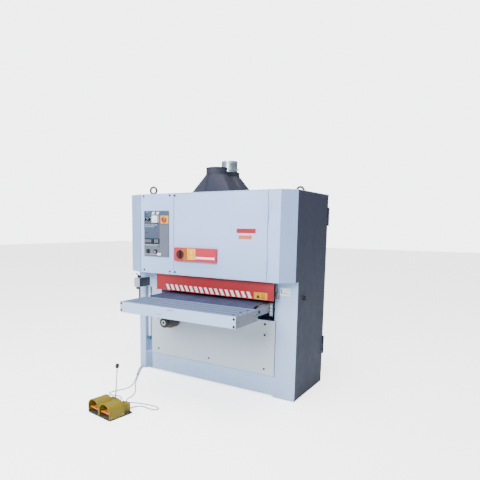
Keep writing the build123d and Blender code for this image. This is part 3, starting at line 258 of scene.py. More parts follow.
def math_node(tree, operation, a, b=None, clamp=False):
    """One maths step on two sockets or numbers."""
    node = tree.nodes.new("ShaderNodeMath")
    node.operation = operation
    node.use_clamp = clamp
    for k, value in enumerate((a, b)):
        if value is None:
            continue
        if isinstance(value, (int, float)):
            node.inputs[k].default_value = value
        else:
            link(tree, value, node.inputs[k])
    return node.outputs[0]


def remap(tree, value, low, high, out_low=0.0, out_high=1.0):
    """Carry a value from one range to another."""
    node = tree.nodes.new("ShaderNodeMapRange")
    link(tree, value, node.inputs["Value"])
    node.inputs["From Min"].default_value = low
    node.inputs["From Max"].default_value = high
    node.inputs["To Min"].default_value = out_low
    node.inputs["To Max"].default_value = out_high
    return node.outputs[0]


def object_point(tree, stretch=(1, 1, 1)):
    """The position in metres, stretched along the axes."""
    place = tree.nodes.new("ShaderNodeTexCoord").outputs["Object"]
    node = tree.nodes.new("ShaderNodeMapping")
    node.inputs["Scale"].default_value = stretch
    link(tree, place, node.inputs["Vector"])
    return node.outputs[0]


def noise(tree, vector, scale, detail=3.0, rough=0.55):
    """A noise value at a position."""
    node = tree.nodes.new("ShaderNodeTexNoise")
    if isinstance(scale, (int, float)):
        node.inputs["Scale"].default_value = scale
    else:
        link(tree, scale, node.inputs["Scale"])
    node.inputs["Detail"].default_value = detail
    node.inputs["Roughness"].default_value = rough
    link(tree, vector, node.inputs["Vector"])
    return node.outputs["Fac"]


def mix_colour(tree, factor, a, b, blend="MIX"):
    """Two colours, each a socket or a value, mixed by a factor."""
    node = tree.nodes.new("ShaderNodeMix")
    node.data_type = "RGBA"
    node.blend_type = blend
    for socket, value in ((node.inputs["Factor"], factor), (node.inputs["A"], a), (node.inputs["B"], b)):
        target = socket
        if socket.name in ("A", "B"):
            target = [s for s in node.inputs if s.name == socket.name and s.type == "RGBA"][0]
        if isinstance(value, (int, float)):
            target.default_value = value
        elif isinstance(value, tuple):
            target.default_value = (*value, 1.0)
        else:
            link(tree, value, target)
    return [s for s in node.outputs if s.type == "RGBA"][0]


def build_edge_wear():
    """Rounded shading along edges, and a broken mask where paint has rubbed off them."""
    tree, start, end = group("Rubbed Edges", [("Radius", "NodeSocketFloat", 0.002),
                                             ("Amount", "NodeSocketFloat", 0.5)],
                             [("Mask", "NodeSocketFloat"), ("Normal", "NodeSocketVector")])
    bevel = tree.nodes.new("ShaderNodeBevel")
    bevel.samples = 4
    link(tree, start.outputs["Radius"], bevel.inputs["Radius"])
    geometry = tree.nodes.new("ShaderNodeNewGeometry")
    dot = tree.nodes.new("ShaderNodeVectorMath")
    dot.operation = "DOT_PRODUCT"
    link(tree, bevel.outputs[0], dot.inputs[0])
    link(tree, geometry.outputs["Normal"], dot.inputs[1])
    turned = math_node(tree, "SUBTRACT", 1.0, dot.outputs["Value"])
    rub = remap(tree, turned, 0.02, 0.2)
    patches = remap(tree, noise(tree, object_point(tree), 38.0, 4.0, 0.7), 0.48, 0.62)
    mask = math_node(tree, "MULTIPLY", rub, patches)
    link(tree, math_node(tree, "MULTIPLY", mask, start.outputs["Amount"], True), end.inputs["Mask"])
    link(tree, bevel.outputs[0], end.inputs["Normal"])
    return tree


def build_paint_film():
    """Sprayed paint: broad tone changes, fine orange peel, and uneven gloss."""
    tree, start, end = group("Sprayed Film", [("Colour", "NodeSocketColor", (0.5, 0.5, 0.5, 1)),
                                             ("Variation", "NodeSocketFloat", 0.1),
                                             ("Gloss", "NodeSocketFloat", 0.4)],
                             [("Colour", "NodeSocketColor"), ("Roughness", "NodeSocketFloat"),
                              ("Height", "NodeSocketFloat")])
    point = object_point(tree)
    broad = noise(tree, point, 2.2, 3.0)
    fine = noise(tree, point, 460.0, 2.0, 0.6)
    tone = remap(tree, broad, 0.3, 0.7, -1.0, 1.0)
    change = math_node(tree, "ADD", 1.0, math_node(tree, "MULTIPLY", tone, start.outputs["Variation"]))
    scale = tree.nodes.new("ShaderNodeVectorMath")
    scale.operation = "SCALE"
    link(tree, start.outputs["Colour"], scale.inputs[0])
    link(tree, change, scale.inputs["Scale"])
    link(tree, scale.outputs[0], end.inputs["Colour"])
    smear = remap(tree, noise(tree, point, 9.0, 5.0, 0.65), 0.3, 0.7, -0.07, 0.07)
    link(tree, math_node(tree, "ADD", start.outputs["Gloss"], smear, True), end.inputs["Roughness"])
    link(tree, fine, end.inputs["Height"])
    return tree


def build_dust():
    """Wood dust that lies on what faces up, thicker in patches."""
    tree, start, end = group("Settled Dust", [("Amount", "NodeSocketFloat", 0.4)],
                             [("Mask", "NodeSocketFloat")])
    split = tree.nodes.new("ShaderNodeSeparateXYZ")
    link(tree, tree.nodes.new("ShaderNodeNewGeometry").outputs["Normal"], split.inputs[0])
    up = remap(tree, split.outputs["Z"], 0.35, 1.0)
    patches = remap(tree, noise(tree, object_point(tree), 14.0, 6.0, 0.7), 0.35, 0.75)
    link(tree, math_node(tree, "MULTIPLY", math_node(tree, "MULTIPLY", up, patches),
                         start.outputs["Amount"], True), end.inputs["Mask"])
    return tree


def build_grime():
    """Streaks that run down and a darker band towards the floor."""
    tree, start, end = group("Shop Grime", [("Amount", "NodeSocketFloat", 0.3),
                                           ("Reach", "NodeSocketFloat", 0.35)],
                             [("Mask", "NodeSocketFloat")])
    split = tree.nodes.new("ShaderNodeSeparateXYZ")
    link(tree, object_point(tree), split.inputs[0])
    low = math_node(tree, "SUBTRACT", 1.0, math_node(tree, "DIVIDE", split.outputs["Z"],
                                                     start.outputs["Reach"]), True)
    streaks = remap(tree, noise(tree, object_point(tree, (16, 16, 1.6)), 1.6, 5.0, 0.7), 0.45, 0.8)
    scuffs = remap(tree, noise(tree, object_point(tree), 22.0, 5.0, 0.75), 0.5, 0.78)
    floor_part = math_node(tree, "MULTIPLY", low, math_node(tree, "ADD", scuffs, 0.35))
    total = math_node(tree, "ADD", math_node(tree, "MULTIPLY", streaks, 0.28), floor_part)
    link(tree, math_node(tree, "MULTIPLY", total, start.outputs["Amount"], True), end.inputs["Mask"])
    return tree


def build_brushed():
    """Fine lines left by brushing or grinding along one axis."""
    tree, start, end = group("Brushed Lines", [("Along X", "NodeSocketFloat", 1.0)],
                             [("Mask", "NodeSocketFloat"), ("Height", "NodeSocketFloat")])
    along = noise(tree, object_point(tree, (6, 420, 420)), 1.0, 3.0, 0.6)
    across = noise(tree, object_point(tree, (420, 420, 6)), 1.0, 3.0, 0.6)
    node = tree.nodes.new("ShaderNodeMix")
    link(tree, start.outputs["Along X"], node.inputs["Factor"])
    link(tree, across, node.inputs[2])
    link(tree, along, node.inputs[3])
    link(tree, node.outputs[0], end.inputs["Height"])
    link(tree, remap(tree, node.outputs[0], 0.3, 0.7), end.inputs["Mask"])
    return tree


def build_grain():
    """The fine pebble of moulded plastic, rubber or cast iron."""
    tree, start, end = group("Moulded Grain", [("Scale", "NodeSocketFloat", 900.0)],
                             [("Mask", "NodeSocketFloat"), ("Height", "NodeSocketFloat")])
    cells = tree.nodes.new("ShaderNodeTexVoronoi")
    link(tree, start.outputs["Scale"], cells.inputs["Scale"])
    link(tree, object_point(tree), cells.inputs["Vector"])
    link(tree, cells.outputs["Distance"], end.inputs["Height"])
    link(tree, remap(tree, noise(tree, object_point(tree), 30.0, 4.0), 0.35, 0.7), end.inputs["Mask"])
    return tree


def build_weave():
    """A plain weave of two crossing thread sets."""
    tree, start, end = group("Plain Weave", [("Threads", "NodeSocketFloat", 700.0)],
                             [("Mask", "NodeSocketFloat"), ("Height", "NodeSocketFloat")])
    split = tree.nodes.new("ShaderNodeSeparateXYZ")
    link(tree, object_point(tree), split.inputs[0])
    run = math_node(tree, "ADD", split.outputs["Y"], split.outputs["Z"])
    warp = math_node(tree, "SINE", math_node(tree, "MULTIPLY", split.outputs["X"], start.outputs["Threads"]))
    weft = math_node(tree, "SINE", math_node(tree, "MULTIPLY", run, start.outputs["Threads"]))
    woven = math_node(tree, "MULTIPLY", warp, weft)
    link(tree, woven, end.inputs["Height"])
    link(tree, remap(tree, woven, -1.0, 1.0), end.inputs["Mask"])
    return tree


RUBBED = build_edge_wear()
FILM = build_paint_film()
DUST = build_dust()
GRIME = build_grime()
BRUSHED = build_brushed()
GRAIN = build_grain()
WEAVE = build_weave()


def use(tree, effect, **values):
    """Place a group in a material and set its sockets."""
    node = tree.nodes.new("ShaderNodeGroup")
    node.node_tree = effect
    for label, value in values.items():
        socket = node.inputs[label.replace("_", " ")]
        if hasattr(value, "is_output"):
            link(tree, value, socket)
        elif isinstance(value, tuple):
            socket.default_value = (*value, 1.0)
        else:
            socket.default_value = value
    return node


def new_material(name):
    """A new material with its node tree and its main shader."""
    material = bpy.data.materials.new(name)
    material.use_nodes = True
    tree = material.node_tree
    return material, tree, tree.nodes["Principled BSDF"]


def bump(tree, height, strength, distance, normal=None):
    """A surface direction disturbed by a height."""
    node = tree.nodes.new("ShaderNodeBump")
    node.inputs["Strength"].default_value = strength
    node.inputs["Distance"].default_value = distance
    link(tree, height, node.inputs["Height"])
    if normal is not None:
        link(tree, normal, node.inputs["Normal"])
    return node.outputs[0]


DUST_COLOUR = (0.52, 0.47, 0.40)


def painted_sheet(name, colour, gloss=0.42, wear=0.5, dust=0.35, grime=0.3, under=(0.20, 0.20, 0.21),
                  variation=0.04, radius=0.0025, coat=0.15, peel=0.00012, shine=0.5):
    """Sprayed steel sheet with rubbed edges, dust and grime."""
    material, tree, shader = new_material(name)
    film = use(tree, FILM, Colour=colour, Variation=variation, Gloss=gloss)
    edges = use(tree, RUBBED, Radius=radius, Amount=wear)
    dirt = use(tree, GRIME, Amount=grime)
    dusty = use(tree, DUST, Amount=dust)
    tone = mix_colour(tree, edges.outputs["Mask"], film.outputs["Colour"], under)
    tone = mix_colour(tree, dirt.outputs["Mask"], tone, (0.10, 0.095, 0.085))
    tone = mix_colour(tree, dusty.outputs["Mask"], tone, DUST_COLOUR)
    link(tree, tone, shader.inputs["Base Color"])
    rough = math_node(tree, "ADD", film.outputs["Roughness"],
                      math_node(tree, "MULTIPLY", dusty.outputs["Mask"], 0.4), True)
    link(tree, rough, shader.inputs["Roughness"])
    link(tree, bump(tree, film.outputs["Height"], 0.25, peel, edges.outputs["Normal"]),
         shader.inputs["Normal"])
    shader.inputs["Specular IOR Level"].default_value = shine
    shader.inputs["Coat Weight"].default_value = coat
    shader.inputs["Coat Roughness"].default_value = 0.3
    return material


def moulded(name, colour, rough=0.45, grain=900.0, depth=0.00012, dust=0.2, variation=0.06,
            radius=0.0012, coat=0.0):
    """Moulded plastic or rubber with a fine grain and a little dust."""
    material, tree, shader = new_material(name)
    film = use(tree, FILM, Colour=colour, Variation=variation, Gloss=rough)
    pebble = use(tree, GRAIN, Scale=grain)
    edges = use(tree, RUBBED, Radius=radius, Amount=0.35)
    dusty = use(tree, DUST, Amount=dust)
    worn = tuple(min(1.0, c * 1.5 + 0.05) for c in colour)
    tone = mix_colour(tree, edges.outputs["Mask"], film.outputs["Colour"], worn)
    tone = mix_colour(tree, dusty.outputs["Mask"], tone, DUST_COLOUR)
    link(tree, tone, shader.inputs["Base Color"])
    link(tree, film.outputs["Roughness"], shader.inputs["Roughness"])
    link(tree, bump(tree, pebble.outputs["Height"], 0.5, depth, edges.outputs["Normal"]),
         shader.inputs["Normal"])
    shader.inputs["Coat Weight"].default_value = coat
    return material


def bare_metal(name, colour, rough=0.32, along=1.0, stain=(0.16, 0.12, 0.09), stain_by=0.35, dust=0.15,
               radius=0.0012):
    """Bare steel or aluminium with grinding lines and dull stains."""
    material, tree, shader = new_material(name)
    lines = use(tree, BRUSHED, Along_X=along)
    edges = use(tree, RUBBED, Radius=radius, Amount=0.6)
    dusty = use(tree, DUST, Amount=dust)
    darker = tuple(c * 0.72 for c in colour)
    tone = mix_colour(tree, lines.outputs["Mask"], darker, colour)
    blots = remap(tree, noise(tree, object_point(tree), 26.0, 6.0, 0.7), 0.5, 0.8, 0.0, stain_by)
    tone = mix_colour(tree, blots, tone, stain)
    tone = mix_colour(tree, edges.outputs["Mask"], tone, tuple(min(1.0, c * 1.3) for c in colour))
    tone = mix_colour(tree, dusty.outputs["Mask"], tone, DUST_COLOUR)
    link(tree, tone, shader.inputs["Base Color"])
    link(tree, remap(tree, lines.outputs["Mask"], 0.0, 1.0, rough - 0.06, rough + 0.1),
         shader.inputs["Roughness"])
    link(tree, remap(tree, dusty.outputs["Mask"], 0.0, 1.0, 1.0, 0.2), shader.inputs["Metallic"])
    link(tree, bump(tree, lines.outputs["Height"], 0.2, 0.00008, edges.outputs["Normal"]),
         shader.inputs["Normal"])
    return material


def galvanised_sheet(name):
    """Zinc sheet with its flat, angular crystals."""
    material, tree, shader = new_material(name)
    cells = tree.nodes.new("ShaderNodeTexVoronoi")
    cells.inputs["Scale"].default_value = 55.0
    link(tree, object_point(tree), cells.inputs["Vector"])
    shade = tree.nodes.new("ShaderNodeSeparateColor")
    link(tree, cells.outputs["Color"], shade.inputs[0])
    tone = mix_colour(tree, shade.outputs[0], (0.30, 0.36, 0.38), (0.52, 0.60, 0.60))
    dusty = use(tree, DUST, Amount=0.3)
    tone = mix_colour(tree, dusty.outputs["Mask"], tone, DUST_COLOUR)
    link(tree, tone, shader.inputs["Base Color"])
    link(tree, remap(tree, shade.outputs[1], 0.0, 1.0, 0.28, 0.5), shader.inputs["Roughness"])
    shader.inputs["Metallic"].default_value = 0.85
    edges = use(tree, RUBBED, Radius=0.0012, Amount=0.3)
    link(tree, bump(tree, cells.outputs["Distance"], 0.2, 0.0001, edges.outputs["Normal"]),
         shader.inputs["Normal"])
    return material


def feed_belt_cloth(name, colour):
    """The rubbed rubber face of the feed belt, with tracks along its run."""
    material, tree, shader = new_material(name)
    film = use(tree, FILM, Colour=colour, Variation=0.12, Gloss=0.62)
    threads = use(tree, WEAVE, Threads=1400.0)
    tracks = remap(tree, noise(tree, object_point(tree, (24, 0.7, 0.7)), 1.0, 5.0, 0.7), 0.42, 0.75, 0.0, 0.4)
    tone = mix_colour(tree, tracks, film.outputs["Colour"], tuple(c * 1.9 + 0.02 for c in colour))
    dusty = use(tree, DUST, Amount=0.05)
    tone = mix_colour(tree, dusty.outputs["Mask"], tone, DUST_COLOUR)
    link(tree, tone, shader.inputs["Base Color"])
    link(tree, film.outputs["Roughness"], shader.inputs["Roughness"])
    link(tree, bump(tree, threads.outputs["Height"], 0.35, 0.0002), shader.inputs["Normal"])
    shader.inputs["Specular IOR Level"].default_value = 0.15
    return material


def abrasive_cloth(name, colour):
    """Resin-bonded grit on cloth."""
    material, tree, shader = new_material(name)
    grit = use(tree, GRAIN, Scale=1600.0)
    film = use(tree, FILM, Colour=colour, Variation=0.15, Gloss=0.8)
    loaded = remap(tree, noise(tree, object_point(tree, (18, 1, 1)), 1.0, 5.0), 0.5, 0.75, 0.0, 0.6)
    tone = mix_colour(tree, loaded, film.outputs["Colour"], (0.30, 0.25, 0.19))
    link(tree, tone, shader.inputs["Base Color"])
    link(tree, film.outputs["Roughness"], shader.inputs["Roughness"])
    link(tree, bump(tree, grit.outputs["Height"], 0.9, 0.0004), shader.inputs["Normal"])
    return material


def printed(name, colour, rough=0.4, scuff=0.25):
    """Printed film or ink: an even colour with scuffs and a slight sheen."""
    material, tree, shader = new_material(name)
    film = use(tree, FILM, Colour=colour, Variation=0.05, Gloss=rough)
    marks = remap(tree, noise(tree, object_point(tree), 60.0, 6.0, 0.75), 0.55, 0.8, 0.0, scuff)
    tone = mix_colour(tree, marks, film.outputs["Colour"], tuple(c * 0.55 for c in colour))
    link(tree, tone, shader.inputs["Base Color"])
    link(tree, film.outputs["Roughness"], shader.inputs["Roughness"])
    link(tree, bump(tree, film.outputs["Height"], 0.15, 0.00006), shader.inputs["Normal"])
    shader.inputs["Coat Weight"].default_value = 0.2
    return material


def lamp_lens(name, colour):
    """A coloured lens with the ribs that spread its light."""
    material, tree, shader = new_material(name)
    point = tree.nodes.new("ShaderNodeSeparateXYZ")
    link(tree, object_point(tree), point.inputs[0])
    ribs = math_node(tree, "SINE", math_node(tree, "MULTIPLY", point.outputs["X"], 2600.0))
    tone = mix_colour(tree, remap(tree, ribs, -1, 1, 0.0, 0.4), colour, tuple(c * 0.75 for c in colour))
    link(tree, tone, shader.inputs["Base Color"])
    link(tree, bump(tree, ribs, 0.4, 0.0002), shader.inputs["Normal"])
    shader.inputs["Roughness"].default_value = 0.18
    shader.inputs["Coat Weight"].default_value = 0.6
    return material


# ---------------------------------------------------------------- finishes
LIGHT_PAINT = painted_sheet("light_blue_grey_paint", (0.42, 0.58, 0.90), gloss=0.38, wear=0.25,
                            dust=0.15, grime=0.12)
COVER_PAINT = painted_sheet("cover_paint", (0.40, 0.535, 0.77), gloss=0.42, wear=0.3, grime=0.24)
PANEL_PAINT = painted_sheet("lower_panel_paint", (0.50, 0.56, 0.62), gloss=0.42, wear=0.3, grime=0.2)
SLATE_PAINT = painted_sheet("slate_paint", (0.047, 0.056, 0.090), gloss=0.6, wear=0.3, grime=0.04, dust=0.04,
                            coat=0.0, shine=0.25)
RED_PAINT = painted_sheet("guard_red_paint", (0.37, 0.005, 0.012), gloss=0.45, wear=0.4, grime=0.12, dust=0.1,
                          coat=0.2)
HOOD_PAINT = painted_sheet("dust_hood_paint", (0.034, 0.035, 0.052), gloss=0.65, wear=0.35, grime=0.03,
                           dust=0.05, coat=0.0, shine=0.2)
TABLE_PAINT = painted_sheet("table_paint", (0.42, 0.56, 0.82), gloss=0.36, wear=0.6, dust=0.1,
                            grime=0.1)
DARK_CASTING = painted_sheet("dark_casting", (0.030, 0.030, 0.034), gloss=0.5, wear=0.5, dust=0.5,
                             under=(0.3, 0.3, 0.3), peel=0.0004)
BROWN_CASTING = painted_sheet("gearbox_paint", (0.095, 0.080, 0.070), gloss=0.5, wear=0.5, dust=0.5,
                              under=(0.3, 0.3, 0.3), peel=0.0004)
YELLOW_PAINT = painted_sheet("pedal_yellow_paint", (0.21, 0.15, 0.0), gloss=0.5, wear=0.3,
                             dust=0.03, grime=0.2, under=(0.12, 0.10, 0.06), coat=0.0, shine=0.3)
TABLE_END_PAINT = painted_sheet("table_end_paint", (0.17, 0.195, 0.25), gloss=0.45, wear=0.5, dust=0.1,
                                grime=0.2)
FORGED = painted_sheet("forged_steel", (0.035, 0.033, 0.034), gloss=0.5, wear=0.3, dust=0.05, peel=0.0004)
STEEL = bare_metal("ground_steel", (0.52, 0.53, 0.55))
DULL_STEEL = bare_metal("dull_steel", (0.30, 0.31, 0.33), rough=0.45, stain_by=0.5, dust=0.3)
ZINC = galvanised_sheet("galvanised_sheet")
BLACK_PLASTIC = moulded("black_plastic", (0.014, 0.014, 0.016), rough=0.42)
WHITE_PLASTIC = moulded("white_plastic", (0.74, 0.76, 0.78), rough=0.35, dust=0.1)
PALE_BOX = moulded("pale_box_plastic", (0.34, 0.40, 0.50), rough=0.45)
BLUE_PLASTIC = moulded("blue_button_plastic", (0.010, 0.085, 0.18), rough=0.25, coat=0.5)
RED_PLASTIC = moulded("red_button_plastic", (0.36, 0.022, 0.012), rough=0.25, coat=0.6)
SWITCH_RED = moulded("switch_box_plastic", (0.54, 0.020, 0.050), rough=0.35, coat=0.3)
MAROON_PLASTIC = moulded("switch_knob_plastic", (0.055, 0.006, 0.011), rough=0.4, dust=0.05)
ORANGE_PLASTIC = moulded("treadle_plastic", (0.70, 0.16, 0.0), rough=0.4)
AMBER_RING = moulded("amber_ring_plastic", (0.42, 0.12, 0.008), rough=0.3, coat=0.3)
BLACK_RUBBER = moulded("black_rubber", (0.012, 0.012, 0.013), rough=0.7, grain=500.0, depth=0.0003)
# a dark blue for the strips along the table's grooves: painted groove shade
GROOVE_SHADE_RUBBER = moulded("table_groove_shade_rubber", (0.028, 0.036, 0.058), rough=0.6, grain=700.0, dust=0.05)
# a darker blue for the flat plate at the niche's foot: painted shade standing for a recess
NICHE_SHADE_PAINT = painted_sheet("niche_painted_shade", (0.17, 0.27, 0.40), gloss=0.45, wear=0.3, grime=0.2)
ROLLER_RUBBER = moulded("roller_rubber", (0.02, 0.02, 0.024), rough=0.6, grain=1400.0)
PIPE_PLASTIC = moulded("white_pipe_plastic", (0.72, 0.75, 0.80), rough=0.4, dust=0.2)
TEAL_FITTING = moulded("teal_fitting", (0.015, 0.10, 0.13), rough=0.35)
CORD_SHEATH = moulded("cord_sheath", (0.11, 0.125, 0.21), rough=0.5, grain=1500.0, dust=0.15)
SLEEVE_SHEATH = moulded("sleeve_sheath", (0.52, 0.49, 0.47), rough=0.6, grain=800.0, dust=0.2)
BELT_FACE = feed_belt_cloth("feed_belt_face", (0.024, 0.030, 0.072))
ABRASIVE = abrasive_cloth("abrasive_cloth", (0.16, 0.055, 0.028))
FASCIA_BLUE = printed("fascia_print_blue", (0.060, 0.088, 0.145))
FASCIA_GREY = printed("fascia_print_grey", (0.125, 0.140, 0.185))
INK_DARK = printed("dark_ink", (0.030, 0.040, 0.065))
INK_LIGHT = printed("light_ink", (0.62, 0.68, 0.78))
INK_WHITE = printed("white_ink", (0.86, 0.86, 0.88), scuff=0.15)
INK_RED = printed("red_ink", (0.38, 0.006, 0.022))
INK_PEACH = printed("peach_ink", (0.62, 0.13, 0.065))
LABEL_YELLOW = printed("yellow_label", (0.82, 0.36, 0.0))
LABEL_PALE = printed("pale_yellow_label", (0.90, 0.60, 0.12))
LENS_WHITE = lamp_lens("white_lens", (0.85, 0.85, 0.86))
LENS_BEIGE = lamp_lens("beige_lens", (0.62, 0.57, 0.50))
TABLE_TOP_PAINT = painted_sheet("table_top_paint", (0.13, 0.19, 0.31), gloss=0.55, wear=0.5, dust=0.04,
                                grime=0.3, coat=0.0, shine=0.2)
# a darker copy of the light blue-grey paint for the bevelled corner faces: painted shade where they turn away
# from the light
SHADED_BEVEL_PAINT = painted_sheet("bevel_painted_shade", (0.31, 0.43, 0.69), gloss=0.38, wear=0.25, grime=0.3)

# ---------------------------------------------------------------- camera, floor and light
CAMERA_PLACE = (2.4154, -4.1237, 1.5917)
CAMERA_YAW = math.radians(33.564)
CAMERA_PITCH = math.radians(-7.463)
CAMERA_ROLL = math.radians(0.483)
CAMERA_SENSOR = 36                        # millimetres, as the lens
CAMERA_LENS = 33.98
CAMERA_SHIFT = (0.0768, 0.0938)
COOL_WHITE = (0.90, 0.95, 1.0)
KEY_POWER = 780
TOP_POWER = 460
FLOOR_LIFT = 2.4
BACKDROP_LIFT = 5.0


def set_camera():
    """The camera stands to the operator's right of the machine, at eye height."""
    ahead = Vector((-math.sin(CAMERA_YAW) * math.cos(CAMERA_PITCH),
                    math.cos(CAMERA_YAW) * math.cos(CAMERA_PITCH), math.sin(CAMERA_PITCH)))
    level = Vector((math.cos(CAMERA_YAW), math.sin(CAMERA_YAW), 0))
    upward = level.cross(ahead)
    right = math.cos(CAMERA_ROLL) * level + math.sin(CAMERA_ROLL) * upward
    up = -math.sin(CAMERA_ROLL) * level + math.cos(CAMERA_ROLL) * upward
    turned = Matrix((right, up, -ahead)).transposed().to_4x4()
    data = bpy.data.cameras.new("camera")
    data.sensor_width = CAMERA_SENSOR
    data.lens = CAMERA_LENS
    data.shift_x, data.shift_y = CAMERA_SHIFT
    data.dof.use_dof = False
    data.clip_end = 60
    camera = bpy.data.objects.new("camera", data)
    camera.matrix_world = Matrix.Translation(CAMERA_PLACE) @ turned
    bpy.context.collection.objects.link(camera)
    bpy.context.scene.camera = camera


def area_light(name, place, target, width, depth, power, colour=(1, 1, 1)):
    """A rectangular light at a place, turned to face a target."""
    data = bpy.data.lights.new(name, "AREA")
    data.shape = "RECTANGLE"
    data.size = width
    data.size_y = depth
    data.energy = power
    data.color = colour
    light = bpy.data.objects.new(name, data)
    aim = (Vector(target) - Vector(place)).to_track_quat("-Z", "Y").to_matrix().to_4x4()
    light.matrix_world = Matrix.Translation(place) @ aim
    bpy.context.collection.objects.link(light)


def set_studio():
    """A pale floor, a pale surround and two broad soft lights."""
    bm = bmesh.new()
    bmesh.ops.create_grid(bm, x_segments=8, y_segments=8, size=30)
    mesh = bpy.data.meshes.new("studio_floor")
    bm.to_mesh(mesh)
    bm.free()
    material, tree, shader = new_material("studio_floor")
    film = use(tree, FILM, Colour=(0.985, 0.985, 0.985), Variation=0.003, Gloss=0.75)
    link(tree, film.outputs["Colour"], shader.inputs["Base Color"])
    link(tree, film.outputs["Roughness"], shader.inputs["Roughness"])
    # the floor is lifted towards white for the eye only, so it throws no more light on the machine
    looked_at = tree.nodes.new("ShaderNodeLightPath").outputs["Is Camera Ray"]
    shader.inputs["Emission Color"].default_value = (1, 1, 1, 1)
    link(tree, math_node(tree, "MULTIPLY", looked_at, FLOOR_LIFT), shader.inputs["Emission Strength"])
    mesh.materials.append(material)
    floor = bpy.data.objects.new("studio_floor", mesh)
    bpy.context.collection.objects.link(floor)
    world = bpy.data.worlds.new("studio")
    world.use_nodes = True
    tree = world.node_tree
    background = tree.nodes["Background"]
    background.inputs["Color"].default_value = (0.95, 0.97, 1.0, 1)
    # the surround is brightest overhead, and darker on the right than on the left
    split = tree.nodes.new("ShaderNodeSeparateXYZ")
    link(tree, tree.nodes.new("ShaderNodeTexCoord").outputs["Generated"], split.inputs[0])
    side = remap(tree, split.outputs["X"], -0.6, 0.8, 0.28, 0.08)
    overhead = remap(tree, split.outputs["Z"], 0.15, 0.9, 0.0, 0.9)
    surround = math_node(tree, "ADD", side, overhead)
    seen = tree.nodes.new("ShaderNodeLightPath").outputs["Is Camera Ray"]
    backdrop = tree.nodes.new("ShaderNodeMix")
    link(tree, seen, backdrop.inputs["Factor"])
    link(tree, surround, backdrop.inputs[2])
    backdrop.inputs[3].default_value = BACKDROP_LIFT
    link(tree, backdrop.outputs[0], background.inputs["Strength"])
    bpy.context.scene.world = world
    area_light("key_light", (0.1, -7.4, 4.2), (0, -0.4, 0.9), 3.4, 2.6, KEY_POWER, COOL_WHITE)
    area_light("top_light", (0.2, -1.8, 6.6), (0, -0.4, 0.5), 4.0, 4.0, TOP_POWER)


set_camera()
set_studio()

# ---------------------------------------------------------------- cords, in millimetres
LEFT_CORD = ((-741, -621, 15), (-716, -658, 10), (-682, -708, 5.5), (-640, -776, 4.5),
             (-594, -846, 4.5), (-566, -916, 4.5), (-565, -984, 4.5), (-586, -1044, 4.5),
             (-612, -1096, 4.5), (-618, -1144, 4.5), (-594, -1180, 4.5), (-552, -1184, 4.5),
             (-510, -1166, 4.5), (-464, -1162, 4.5), (-424, -1188, 4.5), (-396, -1236, 4.5),
             (-358, -1268, 5), (-336, -1304, 12), (-343, -1342, 16))
RIGHT_CORD = ((-733, -615, 15), (-707, -652, 10), (-672, -702, 5.5), (-627, -770, 4.5),
              (-575, -838, 4.5), (-515, -900, 4.5), (-458, -962, 4.5), (-410, -1030, 4.5),
              (-380, -1096, 4.5), (-374, -1152, 4.5), (-362, -1198, 4.5), (-328, -1226, 4.5),
              (-284, -1218, 4.5), (-232, -1192, 4.5), (-170, -1174, 4.5), (-114, -1165, 4.5),
              (-66, -1160, 4.5), (-22, -1163, 4.5), (10, -1179, 4.5), (11, -1212, 4.5),
              (-20, -1228, 4.5), (-64, -1231, 4.5), (-118, -1222, 4.5), (-166, -1230, 4.5),
              (-192, -1268, 5), (-187, -1318, 12), (-194.5, -1363, 16))
SLEEVE = ((-878, -382, 15), (-862.1, -436, 15), (-800, -526, 15), (-737, -618, 15))
CORD_RADIUS = 0.004
SLEEVE_RADIUS = 0.014


def spline_piece(name, points, radius, material, node):
    """A round cord along the given points, standing for its CAD node."""
    data = bpy.data.curves.new(name, "CURVE")
    data.dimensions = "3D"
    line = data.splines.new("NURBS")
    line.points.add(len(points) - 1)
    for target, (x, y, z) in zip(line.points, points):
        target.co = (x / 1000, y / 1000, z / 1000, 1)
    line.order_u = 3
    line.use_endpoint_u = True
    line.resolution_u = 12
    data.bevel_depth = radius
    data.bevel_resolution = 4
    data.use_fill_caps = True
    data.materials.append(material)
    piece = bpy.data.objects.new(name, data)
    bpy.context.collection.objects.link(piece)
    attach(piece, "root")
    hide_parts(node)
    return piece


left_cord = spline_piece("left_pedal_cord", LEFT_CORD, CORD_RADIUS, CORD_SHEATH,
                         "left_cord")
right_cord = spline_piece("right_pedal_cord", RIGHT_CORD, CORD_RADIUS, CORD_SHEATH,
                          "right_cord")
sleeve = spline_piece("cord_sleeve_tube", SLEEVE, SLEEVE_RADIUS, SLEEVE_SHEATH,
                      "cord_sleeve")

